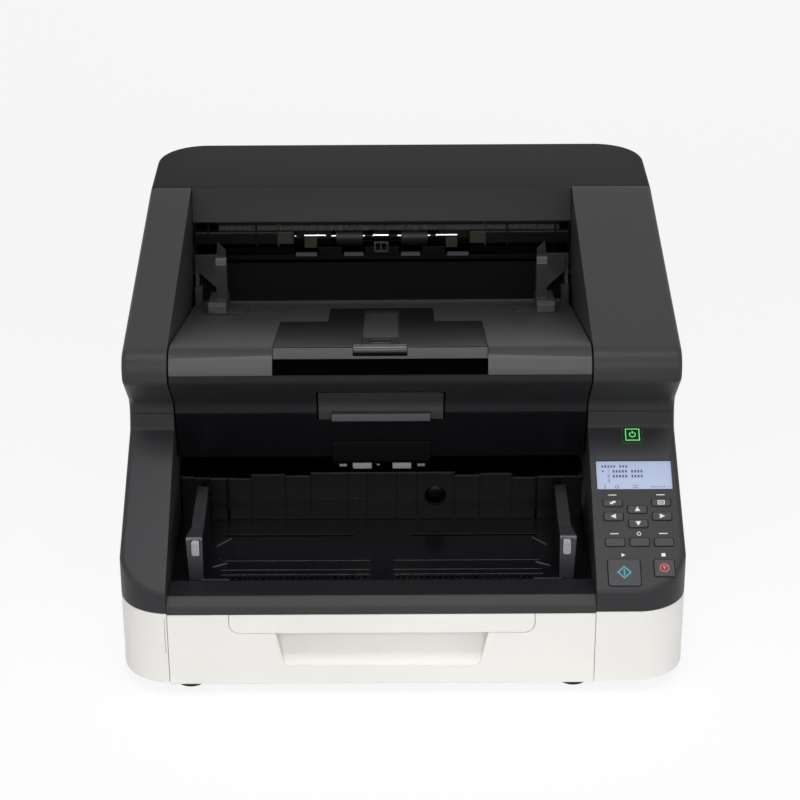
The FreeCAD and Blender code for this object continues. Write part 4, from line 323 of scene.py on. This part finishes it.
def takeOver(node, finish, zones=(), merge=0.000004, angle=28.0):
    # a smooth-shaded copy of a solid that stands in for it, with other finishes where a zone's test holds
    source = frame["nodes"][node]
    mesh = source.data.copy()
    mesh.name = node + "Skin"
    mesh.materials.clear()
    for name in [finish] + [zone[0] for zone in zones]:
        mesh.materials.append(finishes[name])
    form = bmesh.new()
    form.from_mesh(mesh)
    bmesh.ops.remove_doubles(form, verts=form.verts, dist=merge)
    limit = math.radians(angle)
    for edge in form.edges:
        edge.smooth = len(edge.link_faces) == 2 and edge.calc_face_angle(3.0) < limit
    for face in form.faces:
        face.smooth = True
        face.material_index = 0
        middle = face.calc_center_median()
        x, y, z = middle.x / millimetre, (middle.y - frontPlane) / millimetre, middle.z / millimetre
        for index, (zoneFinish, test) in enumerate(zones):
            if test(x, y, z, face.normal):
                face.material_index = index + 1
    form.to_mesh(mesh)
    form.free()
    piece = bpy.data.objects.new(node + "Skin", mesh)
    bpy.context.scene.collection.objects.link(piece)
    return dress(piece, source["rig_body"], node)


skins = {
    "bottom_plate": "zincSheet", "rubber_feet": "footRubber", "left_base_cover": "warmWhite",
    "right_base_cover": "warmWhite", "front_base_cover": "warmWhite", "left_lower_cover": "charcoal",
    "panel_cover": "charcoal", "left_upper_cover": "coverBlack", "right_upper_cover": "coverBlack",
    # the top cover wears a darker copy of the cover black, painted shade
    "top_cover": "topCoverShadedBlack", "rear_cover": "coverBlack", "front_lip": "lipGrey",
    "tray_frame": "zincSheet", "feed_back_wall": "wallBlack", "left_side_frame": "zincSheet",
    "right_side_frame": "zincSheet", "lower_path_plate": "pathBlack", "lower_scan_unit": "housingBlack",
    "eject_frame": "mechanismBlack", "brush_strip": "mechanismBlack", "lcd_window": "displayPane",
    "main_board": "boardGreen", "power_supply": "zincSheet", "drive_motor": "zincSheet",
    "power_inlet": "mechanismBlack", "hinge_pins": "mechanismBlack", "cover_screws": "polishedSteel",
    "eject_tray": "trayBlack", "nose_cover": "noseGrey", "lower_front_panel": "cavityBlack",
    "upper_scan_unit": "housingBlack", "pickup_block": "pickupBlack", "upper_unit_frame": "zincSheet",
    "open_lever": "leverBlack", "eject_extension": "plateBlack", "eject_stopper": "handleBlack",
    "eject_guide_left": "exitGrey", "eject_guide_right": "exitGrey", "eject_shaft": "polishedSteel",
    "eject_rollers": "rollerRubber", "elevator_tray": "cavityBlack", "document_guide_left": "guideGrey",
    "document_guide_right": "guideGrey", "lock_button_left": "buttonGrey",
    "lock_button_right": "buttonGrey", "feed_tray_extension": "warmWhite",
    "pick_rollers": "pickRubber", "transport_roller": "rollerRubber",
}
for keyName in ("power", "job", "menu", "up", "left", "right", "down", "back", "ok", "function", "start",
                "stop"):
    skins[keyName + "_key"] = "keyGrey"

guideZones = [("wallBlack", lambda x, y, z, n: abs(n.x) > 0.8 and z > 86),
              ("cavityBlack", lambda x, y, z, n: z < 87.5 and n.z > 0.9),
              ("ledgeGrey", lambda x, y, z, n: z < 86.7 and abs(n.z) < 0.3 and abs(x - centreX) < 149)]
exitZones = [("trayBlack", lambda x, y, z, n: z < 227), ("tipSmoke", lambda x, y, z, n: z > 272.6)]

# finishes for part of a piece, by the middle of each face in millimetres and its normal; the last match holds
zones = {
    "upper_unit_frame": [("wallGrey", lambda x, y, z, n: y > 420 and n.y < -0.5)],
    "lower_path_plate": [("zincSheet", lambda x, y, z, n: z < 190),
                         # painted shade: upward faces deep in the paper path get the near-black
                         ("recessShadeBlack", lambda x, y, z, n: n.z > 0.5 and (y < 205 or y > 380)
                          or y < 168 and z > 127)],
    "eject_tray": [("wallGrey", lambda x, y, z, n: y > 371.5 and n.y < -0.6),
                   # painted light: the tray's front-facing band gets the lighter copy
                   ("trayLitFront", lambda x, y, z, n: y < 107 and n.y < -0.3 and z > 256),
                   ("wingGrey", lambda x, y, z, n: y > 345 and (x < -177 or x > 140)),
                   # painted shade: the pocket under the extension gets the near-black
                   ("recessShadeBlack", lambda x, y, z, n: y < 125 and z < 268 and abs(x - centreX) < 96
                    and not (y < 103 and n.y < -0.5))],
    # painted light: the top cover's front-facing faces get the lighter copy, the rest the darker one
    "top_cover": [("topCoverLitFront", lambda x, y, z, n: n.y < -0.9)],
    # painted light: the extension's front-facing faces get the lighter grey; the second test puts it on a band
    # of the channel floor
    "eject_extension": [("plateLitFrontAndChannelGrey", lambda x, y, z, n: y < 112 and n.y < -0.5),
                        ("plateLitFrontAndChannelGrey", lambda x, y, z, n: n.z > 0.9 and abs(x - centreX) < 16.5
                         and -4 < 0.262 * (y - 117) + 0.965 * (z - 275.4) < -1.2)],
    "open_lever": [("ledgeGrey", lambda x, y, z, n: y < 138.6 and z < 204)],
    # painted shade: the lip's upward faces get the darker copy
    "front_lip": [("lipShadedTop", lambda x, y, z, n: n.z > 0.95 and y > 12)],
    # painted shade: the lower part of the brush holder gets the near-black
    "brush_strip": [("recessShadeBlack", lambda x, y, z, n: z < 277.7)],
    # painted highlight: the thin ridge tops of the elevator tray get the light grey
    "elevator_tray": [("highlightLineGrey", lambda x, y, z, n: 84.5 < z < 84.9 and n.z > 0.9)],
    "document_guide_left": guideZones,
    "document_guide_right": guideZones,
    "eject_guide_left": exitZones,
    "eject_guide_right": exitZones,
    # painted highlight: the wall's upward top faces get the mid grey; the lens is its own black
    "feed_back_wall": [("highlightEdgeGrey", lambda x, y, z, n: n.z > 0.9 and z > 122),
                       ("lensBlack", lambda x, y, z, n: math.hypot(x - 29.7, z - 108.5) < 9.4 and y < 160)],
    "lower_front_panel": [("wallBlack", lambda x, y, z, n: -184 < x < 147 and z < 196 and n.y < -0.3)],
    "pick_rollers": [("polishedSteel", lambda x, y, z, n: math.hypot(y - 163.0, z - 146.6) < 3.3)],
    "eject_frame": [("blockBeige", lambda x, y, z, n: y < 403 and z > 262 and n.y < -0.5
                     and (-121 < x < -103 or 66 < x < 84))],
    "main_board": [("mechanismBlack", lambda x, y, z, n: y < 504.9),
                   ("zincSheet", lambda x, y, z, n: y > 507)],
    "power_inlet": [("polishedSteel", lambda x, y, z, n: 508 < y < 524.5 and abs(n.y) < 0.5
                     and abs(x - 112) < 7.2 and abs(z - 112.5) < 5)],
    "transport_roller": [("polishedSteel", lambda x, y, z, n: math.hypot(y - 228.0, z - 127.0) < 4.3)],
}
for node, finish in skins.items():
    takeOver(node, finish, zones.get(node, ()))
print("solids dressed")


# Flat prints, trims and other small pieces

def placed(name, body, finish, shapes, slotName):
    # closed prisms; each shape is a list of bottom points and a list of top points
    form = bmesh.new()
    for bottom, top in shapes:
        low = [form.verts.new(point) for point in bottom]
        high = [form.verts.new(point) for point in top]
        count = len(low)
        form.faces.new(low[::-1])
        form.faces.new(high)
        for index in range(count):
            after = (index + 1) % count
            form.faces.new((low[index], low[after], high[after], high[index]))
    bmesh.ops.recalc_face_normals(form, faces=form.faces)
    mesh = bpy.data.meshes.new(name)
    form.to_mesh(mesh)
    form.free()
    mesh.materials.append(finishes[finish])
    piece = bpy.data.objects.new(name, mesh)
    bpy.context.scene.collection.objects.link(piece)
    return dress(piece, body, slotName=slotName)


def block(x0, x1, y0, y1, z0, z1):
    corners = ((x0, y0), (x1, y0), (x1, y1), (x0, y1))
    return [at(x, y, z0) for x, y in corners], [at(x, y, z1) for x, y in corners]


def flat(points, low, high, surface=onPanel):
    # a flat shape on a sloping surface
    return [surface(x, w, low) for x, w in points], [surface(x, w, high) for x, w in points]


def ring(x, w, outer, inner, low, high, start=0.0, end=360.0, steps=28):
    # band round a middle point, in short straight pieces
    shapes = []
    for index in range(steps):
        angles = [math.radians(start + (end - start) * (index + k) / steps) for k in (0, 1)]
        points = [(x + outer * math.cos(a), w + outer * math.sin(a)) for a in angles]
        points += [(x + inner * math.cos(a), w + inner * math.sin(a)) for a in reversed(angles)]
        shapes.append(flat(points, low, high))
    return shapes


def bar(x0, x1, w0, w1, low, high):
    return flat(((x0, w0), (x1, w0), (x1, w1), (x0, w1)), low, high)


panelSizes = {
    "column": 202.6, "step": 20.9, "keyTop": 1.0, "printThickness": 0.05, "arrow": 2.5,
    "displayLevel": -2.7, "displayLeft": 169.6, "displayLow": 100.6, "displayHigh": 130.0,
    "arrowKeys": (("up", 0, 79.7, 0), ("down", 0, 65.7, 180), ("left", -1, 72.8, 90),
                  ("right", 1, 72.8, -90)),
    "startAcross": -14.6, "startUp": 18.0, "startReach": 6.2, "startLine": 1.1,
    "stopAcross": 19.7, "stopUp": 22.1, "stopOuter": 4.1, "stopInner": 3.2,
    "powerBelowEdge": 8.6, "powerHalf": 6.3, "powerLine": 0.75, "haloHalf": 9.4,
}
panelLength = math.hypot(86.5, 139.5)


def arrowPoints(x, w, size, turn):
    corners = ((0.0, 1.0), (-0.95, -0.8), (0.95, -0.8))
    a = math.radians(turn)
    return [(x + size * (cx * math.cos(a) - cy * math.sin(a)),
             w + size * (cx * math.sin(a) + cy * math.cos(a))) for cx, cy in corners]


def frameOf(x0, x1, w0, w1, side, foot, head, low, high):
    # four bars round a rectangle; side, foot and head are their widths
    return [bar(x0, x1, w0, w0 + foot, low, high), bar(x0, x1, w1 - head, w1, low, high),
            bar(x0, x0 + side, w0 + foot, w1 - head, low, high),
            bar(x1 - side, x1, w0 + foot, w1 - head, low, high)]


def makeKeyPrints():
    s = panelSizes
    low = s["keyTop"] - 0.02
    high = low + s["printThickness"]
    middle = s["column"]
    left = middle - s["step"]
    right = middle + s["step"]
    for key, side, w, turn in s["arrowKeys"]:
        placed(key + "Arrow", key + "_key_body", "legendWhite",
               [flat(arrowPoints(middle + side * s["step"], w, s["arrow"], turn), low, high)], "key_black")
    sheets = [bar(left - 2.4, left + 0.2, 84.8, 86.8, low, high),
              bar(left - 0.4, left + 2.4, 86.0, 88.0, low, high)]
    placed("jobSheets", "job_key_body", "legendWhite", sheets, "key_black")
    card = frameOf(right - 3.0, right + 3.0, 84.2, 88.4, 0.8, 0.7, 0.7, low, high)
    card.append(bar(right - 1.5, right + 1.5, 85.9, 86.7, low, high))
    placed("menuCard", "menu_key_body", "legendWhite", card, "key_black")
    placed("startDiamond", "start_key_body", "legendTeal", startShapes(low, high), "key_black")
    stopX, stopW = middle + s["stopAcross"], s["stopUp"]
    mark = ring(stopX, stopW, s["stopOuter"], s["stopInner"], low, high)
    mark.append(flat(arrowPoints(stopX, stopW + 0.2, 2.0, 180), low, high))
    placed("stopRing", "stop_key_body", "legendRed", mark, "key_black")
    placed("powerRing", "power_key_body", "greenGlow", powerShapes(low, high), "key_black")
    reach, w = s["haloHalf"], panelLength - s["powerBelowEdge"]
    halo = frameOf(middle - reach, middle + reach, w - 9.2, w + 8.2, 1.5, 1.6, 1.2, -0.02, 0.02)
    placed("powerHalo", "base", "greenHalo", halo, "dark_cover")


def startShapes(low, high):
    # a diamond outline with an upright bar in it
    s = panelSizes
    x, w, reach = s["column"] + s["startAcross"], s["startUp"], s["startReach"]
    inner = reach - s["startLine"] * 1.414
    shapes = []
    for quarter in range(4):
        a, b = math.radians(90 * quarter), math.radians(90 * quarter + 90)
        corners = ((reach, a), (reach, b), (inner, b), (inner, a))
        shapes.append(flat([(x + far * math.cos(turn), w + far * math.sin(turn)) for far, turn in corners],
                           low, high))
    return shapes + [bar(x - 0.6, x + 0.6, w - 3.2, w + 3.2, low, high)]


def powerShapes(low, high):
    # a square frame round an open ring with a stroke at its top
    s = panelSizes
    x, w, half, line = s["column"], panelLength - s["powerBelowEdge"], s["powerHalf"], s["powerLine"]
    shapes = frameOf(x - half, x + half, w - half, w + half - 0.4, line, line, line, low, high)
    shapes += ring(x, w, 2.9, 2.15, low, high, 125, 415)
    return shapes + [bar(x - 0.45, x + 0.45, w + 0.8, w + 3.4, low, high)]


def makePanelLegends():
    # plain marks above the keys
    low, high = -0.02, 0.03
    middle = panelSizes["column"]
    left = middle - panelSizes["step"]
    right = middle + panelSizes["step"]
    marks = []
    for x, w in ((left, 94.0), (right, 94.0), (left, 55.6), (right, 55.6)):
        marks.append(bar(x - 3.6, x + 3.6, w, w + 0.9, low, high))
    marks += ring(middle, 55.9, 1.9, 1.3, low, high, steps=20)
    marks.append(flat(arrowPoints(middle - 14.6, 35.2, 1.9, -90), low, high))
    marks.append(bar(middle + 18.0, middle + 21.4, 33.6, 36.8, low, high))
    placed("panelLegends", "base", "legendWhite", marks, "dark_cover")


digitStrokes = {"1": "bc", "2": "abged", "3": "abgcd"}
strokeBars = {"a": (0, 2, 3.5, 4), "b": (1.5, 2, 2, 4), "c": (1.5, 2, 0, 2), "d": (0, 2, 0, 0.5),
              "e": (0, 0.5, 0, 2), "g": (0, 2, 1.75, 2.25)}


def makeDisplay():
    low = panelSizes["displayLevel"] - 0.02
    high = low + 0.05
    x = panelSizes["displayLeft"]
    top = panelSizes["displayHigh"]
    marks = []
    for column in range(9):
        if column != 5:
            marks.append(bar(x + 4.5 + column * 2.6, x + 6.1 + column * 2.6, top - 6.2, top - 4.0, low, high))
    for row, digit in enumerate("123"):
        w = top - 11.4 - row * 4.9
        for stroke in digitStrokes[digit]:
            x0, x1, w0, w1 = strokeBars[stroke]
            marks.append(bar(x + 9.5 + x0 * 0.8, x + 9.5 + x1 * 0.8, w + w0 * 0.8, w + w1 * 0.8, low, high))
        for column in range(0 if digit == "3" else 10):
            if column != 5:
                marks.append(bar(x + 14 + column * 2.7, x + 15.6 + column * 2.7, w, w + 2.6, low, high))
    marks.append(flat(arrowPoints(x + 5.6, top - 9.8, 1.2, -90), low, high))
    foot = panelSizes["displayLow"] + 2.0
    for x0, x1, w0, w1 in ((6, 7.2, 0, 1.1), (6, 7.2, 2.2, 3.3), (31, 35, 0.4, 0.9), (31, 35, 2.6, 3.1)):
        marks.append(bar(x + x0, x + x1, foot + w0, foot + w1, low, high))
    marks += ring(x + 17, foot + 1.7, 1.7, 1.2, low, high, steps=16)
    for dot in range(6):
        marks.append(bar(x + 47 + dot * 2.2, x + 48 + dot * 2.2, foot + 1.2, foot + 2.2, low, high))
    placed("displayMarks", "base", "displayInk", marks, "display")


trimSizes = {
    # pieces across x are y from, y to, z from, z to; whole pieces are x, y and z from and to
    "left": -175.0, "right": 152.0, "beside": 1.6, "inset": 0.4,
    "tabs": ((-102.0, -81.0), (-55.4, -36.0), (-0.3, 18.8), (44.3, 65.6)),
    "shade": (391.0, 392.4, 249.0, 257.2), "strip": (401.2, 402.6, 245.2, 253.0),
    "end": (390.4, 394.0, 248.2, 250.9),
    "blocks": ((-93.4, -81.4, 401.0, 403.2, 252.6, 263.4), (43.6, 54.6, 401.0, 403.2, 252.6, 263.4),
               (-118.5, -105.0, 390.9, 392.2, 261.2, 271.6), (67.5, 81.5, 390.9, 392.2, 261.2, 271.6)),
    "rods": ((-93.4, -72.6), (-27.0, -11.8), (34.2, 54.6)), "rodY": 401.6, "rodZ": 265.4, "rodRadius": 1.25,
    "sensorDepth": (389.2, 391.0),
    "sensor": ((-26.0, -12.2, 252.2, 254.0), (-26.0, -12.2, 261.4, 263.0), (-26.0, -24.2, 254.0, 261.4),
               (-14.0, -12.2, 254.0, 261.4), (-20.0, -18.4, 254.0, 261.4)),
}


def makeEjectTrims():
    # dark strips below the rollers, near-black ones between the fingers as painted shade, and bright finger
    # ends, with the small parts of the roller bed
    s = trimSizes
    edges = [s["left"]] + [edge for tab in s["tabs"] for edge in (tab[0] - s["beside"], tab[1] + s["beside"])]
    edges.append(s["right"])
    shades = [block(edges[k], edges[k + 1], *s["shade"]) for k in range(2, len(edges) - 2, 2)]
    # painted shade: near-black blocks in the gaps between the fingers
    placed("apronShade", "base", "pathBlack", shades, "zinc_sheet")
    strips = [block(edges[k], edges[k + 1], *s["strip"]) for k in (0, len(edges) - 2)]
    placed("apronStrip", "base", "wallGrey", strips, "zinc_sheet")
    ends = [block(x0 + s["inset"], x1 - s["inset"], *s["end"]) for x0, x1 in s["tabs"]]
    placed("fingerEnds", "base", "tabSilver", ends, "zinc_sheet")
    placed("bedBlocks", "base", "blockBeige", [block(*corners) for corners in s["blocks"]], "mechanism_black")
    rods = [rodAlongX(x0, x1, s["rodY"], s["rodZ"], s["rodRadius"], 12) for x0, x1 in s["rods"]]
    placed("bedRods", "base", "polishedSteel", rods, "pin_steel")
    sensor = [block(x0, x1, *s["sensorDepth"], z0, z1) for x0, x1, z0, z1 in s["sensor"]]
    placed("bedSensor", "base", "exitGrey", sensor, "mechanism_black")


def rodAlongX(x0, x1, y, z, radius, steps=24):
    points = [(y + radius * math.cos(2 * math.pi * k / steps), z + radius * math.sin(2 * math.pi * k / steps))
              for k in range(steps)]
    return [at(x0, a, b) for a, b in points], [at(x1, a, b) for a, b in points]


bushSizes = {"y": 413.0, "z": 260.5, "radius": 3.5,
             "spans": ((-72.0, -68.4), (-35.2, -27.4), (-11.4, -3.2), (28.4, 34.0))}


def makeShaftBushes():
    # dark bushes on the eject shaft leave short bright lengths beside the rollers
    s = bushSizes
    bushes = [rodAlongX(x0, x1, s["y"], s["z"], s["radius"]) for x0, x1 in s["spans"]]
    placed("shaftBushes", "exit_drive", "mechanismBlack", bushes, "mechanism_black")


# What repeats is made by geometry nodes

class Growth(NodeWork):
    def __init__(self, name, inputs):
        self.tree = bpy.data.node_groups.new(name, "GeometryNodeTree")
        self.tree.interface.new_socket("Geometry", in_out="INPUT", socket_type="NodeSocketGeometry")
        self.tree.interface.new_socket("Geometry", in_out="OUTPUT", socket_type="NodeSocketGeometry")
        self.identifiers = {}
        for label, kind in inputs.items():
            made = self.tree.interface.new_socket(label, in_out="INPUT", socket_type="NodeSocket" + kind)
            self.identifiers[label] = made.identifier
        self.entry = self.tree.nodes.new("NodeGroupInput")
        self.exit = self.tree.nodes.new("NodeGroupOutput")

    def given(self, label):
        return Wire(self, self.entry.outputs[label])

    def end(self, geometry, finish):
        solid = self.node("GeometryNodeRealizeInstances", {}, {"Geometry": geometry})
        painted = self.node("GeometryNodeSetMaterial", {}, {"Geometry": solid, "Material": finishes[finish]})
        self.join(self.exit.inputs["Geometry"], painted)

    def grow(self, name, points, values, body, slotName):
        # runs the tree on a mesh of loose points and keeps the result as a plain mesh
        mesh = bpy.data.meshes.new(name)
        mesh.from_pydata([tuple(point) for point in points], [], [])
        piece = bpy.data.objects.new(name, mesh)
        bpy.context.scene.collection.objects.link(piece)
        modifier = piece.modifiers.new("growth", "NODES")
        modifier.node_group = self.tree
        for label, value in values.items():
            modifier[self.identifiers[label]] = value
        bpy.context.view_layer.update()
        result = bpy.data.meshes.new_from_object(piece.evaluated_get(bpy.context.evaluated_depsgraph_get()))
        piece.modifiers.clear()
        piece.data = result
        return dress(piece, body, slotName=slotName)


brushSizes = {"left": -175.5, "right": 152.5, "y": 397.2, "middle": 275.2, "count": 560, "length": 0.0068,
              "thickness": 0.0003, "seed": 3}


def makeBristles():
    growth = Growth("bristleRow", {"Length": "Float", "Thickness": "Float", "Seed": "Int"})
    size = growth.node("ShaderNodeCombineXYZ", {},
                       {0: growth.given("Thickness"), 1: growth.given("Thickness"), 2: growth.given("Length")})
    bristle = growth.node("GeometryNodeMeshCube", {}, {"Size": size})
    tilt = growth.node("FunctionNodeRandomValue", {"data_type": "FLOAT_VECTOR"},
                       {0: (-0.16, -0.16, 0.0), 1: (0.16, 0.16, 3.1), "Seed": growth.given("Seed")})
    longer = growth.node("FunctionNodeRandomValue", {"data_type": "FLOAT_VECTOR"},
                         {0: (0.8, 0.8, 0.75), 1: (1.2, 1.2, 1.0), "Seed": growth.given("Seed")})
    spread = growth.node("GeometryNodeInstanceOnPoints", {},
                         {"Points": growth.given("Geometry"), "Instance": bristle, "Rotation": tilt,
                          "Scale": longer})
    growth.end(spread, "bristleGrey")
    s = brushSizes
    step = (s["right"] - s["left"]) / (s["count"] - 1)
    points = [at(s["left"] + index * step, s["y"], s["middle"]) for index in range(s["count"])]
    values = {"Length": s["length"], "Thickness": s["thickness"], "Seed": s["seed"]}
    growth.grow("brushBristles", points, values, "base", "mechanism_black")


screwSizes = {"x": 176.0, "y": 526.93, "levels": (96.0, 180.0, 266.0), "reach": 0.0042, "width": 0.0008,
              "depth": 0.00012}


def makeScrewCrosses():
    growth = Growth("screwCross", {"Reach": "Float", "Width": "Float", "Depth": "Float"})
    bars = []
    for order in (("Reach", "Depth", "Width"), ("Width", "Depth", "Reach")):
        reaches = {index: growth.given(label) for index, label in enumerate(order)}
        size = growth.node("ShaderNodeCombineXYZ", {}, reaches)
        bars.append(growth.node("GeometryNodeMeshCube", {}, {"Size": size}))
    both = growth.node("GeometryNodeJoinGeometry")
    for made in bars:
        growth.tree.links.new(made.socket, both.socket.node.inputs[0])
    spread = growth.node("GeometryNodeInstanceOnPoints", {},
                         {"Points": growth.given("Geometry"), "Instance": both})
    growth.end(spread, "mechanismBlack")
    s = screwSizes
    points = [at(side * s["x"], s["y"], z) for side in (-1, 1) for z in s["levels"]]
    growth.grow("screwCrosses", points, {"Reach": s["reach"], "Width": s["width"], "Depth": s["depth"]},
                "base", "pin_steel")


treadSizes = {"y": 163.0, "z": 146.6, "radius": 11.1, "width": 0.016, "ribs": 40, "height": 0.0004,
              "middles": (-35.8, -0.3)}


def makeTreads():
    # fine ribs along the two wide pick rollers
    growth = Growth("rollerTread", {"Width": "Float", "Height": "Float"})
    size = growth.node("ShaderNodeCombineXYZ", {}, {0: growth.given("Width"), 1: growth.given("Height"),
                                                    2: growth.given("Height")})
    rib = growth.node("GeometryNodeMeshCube", {}, {"Size": size})
    spread = growth.node("GeometryNodeInstanceOnPoints", {},
                         {"Points": growth.given("Geometry"), "Instance": rib})
    growth.end(spread, "pickRubber")
    s = treadSizes
    points = []
    for x in s["middles"]:
        for index in range(s["ribs"]):
            turn = 2 * math.pi * index / s["ribs"]
            points.append(at(x, s["y"] + s["radius"] * math.cos(turn), s["z"] + s["radius"] * math.sin(turn)))
    values = {"Width": s["width"], "Height": s["height"]}
    growth.grow("pickTread", points, values, "pick_drive", "pick_rubber")


makeKeyPrints()
makePanelLegends()
makeDisplay()
makeEjectTrims()
makeShaftBushes()
makeBristles()
makeScrewCrosses()
makeTreads()
print("small pieces made")


# Studio

def makeStudio():
    bpy.ops.mesh.primitive_plane_add(size=12, location=(0, 0, 0))
    floor = bpy.context.object
    floor.name = "studioFloor"
    paper = Finish("studioPaper")
    path = paper.node("ShaderNodeLightPath")
    seen = path + path.other("Is Glossy Ray") + path.other("Is Transmission Ray")
    glow = paper.node("ShaderNodeEmission", {}, {"Color": grey(1.0), "Strength": 1.0})
    seenPart = paper.node("ShaderNodeMath", {"operation": "MINIMUM"}, {0: seen * 0.87, 1: 0.87})
    paper.set(colour=grey(0.86), roughness=0.9)
    plain = Wire(paper, paper.shader.outputs[0])
    mixed = paper.node("ShaderNodeMixShader", {}, {0: seenPart, 1: plain, 2: glow})
    paper.join(paper.output.inputs[0], mixed)
    floor.data.materials.append(paper.material)

    world = bpy.data.worlds.new("studioWorld")
    bpy.context.scene.world = world
    world.use_nodes = True
    sky = NodeWork()
    sky.tree = world.node_tree
    back = sky.tree.nodes["Background"]
    sky.join(back.inputs["Color"], grey(1.0))
    sky.join(back.inputs["Strength"], 0.28)
    path = sky.node("ShaderNodeLightPath")
    direct = sky.node("ShaderNodeMath", {"operation": "ADD", "use_clamp": True},
                      {0: path.other("Is Glossy Ray") + path.other("Is Transmission Ray"), 1: path})
    white = sky.node("ShaderNodeBackground", {}, {"Strength": 1.0})
    mixed = sky.node("ShaderNodeMixShader", {}, {0: direct, 1: Wire(sky, back.outputs[0]), 2: white})
    sky.join(sky.tree.nodes["World Output"].inputs[0], mixed)

    lamps = {
        # name: place, aimed at, width, height, power, spread in degrees
        "frontBox": ((0.0, -1.35, 0.62), (0, -0.24, 0.10), 1.4, 0.5, 3.2, 110),
        "topBox": ((0.0, -0.42, 1.15), (0, -0.26, 0.1), 1.2, 0.36, 1.8, 75),
        "leftBox": ((-1.9, -0.9, 0.7), (0, 0, 0.12), 1.0, 1.0, 4.5, 180),
        "rightBox": ((1.9, -0.9, 0.7), (0, 0, 0.12), 1.0, 1.0, 5.5, 180),
        "rearBox": ((0.2, 2.2, 1.0), (0, 0, 0.15), 1.6, 0.9, 4.0, 180),
    }
    for name, (place, aim, width, height, power, spread) in lamps.items():
        lamp = bpy.data.lights.new(name, "AREA")
        lamp.shape = "RECTANGLE"
        lamp.size, lamp.size_y, lamp.energy = width, height, power
        lamp.spread = math.radians(spread)
        holder = bpy.data.objects.new(name, lamp)
        holder.location = place
        holder.rotation_euler = (Vector(aim) - Vector(place)).to_track_quat("-Z", "Y").to_euler()
        bpy.context.scene.collection.objects.link(holder)


def makeCamera():
    data = bpy.data.cameras.new("photoCamera")
    data.sensor_width = 36.0
    data.lens = 105.75
    camera = bpy.data.objects.new("photoCamera", data)
    turn = Matrix.Rotation(math.radians(90 - 25.5), 4, "X") @ Matrix.Rotation(math.radians(-0.29), 4, "Z")
    camera.matrix_world = Matrix.Translation((-0.0017, -1.9848, 1.1008)) @ turn
    bpy.context.scene.collection.objects.link(camera)
    bpy.context.scene.camera = camera


makeStudio()
makeCamera()
bpy.context.scene.view_settings.view_transform = "Standard"
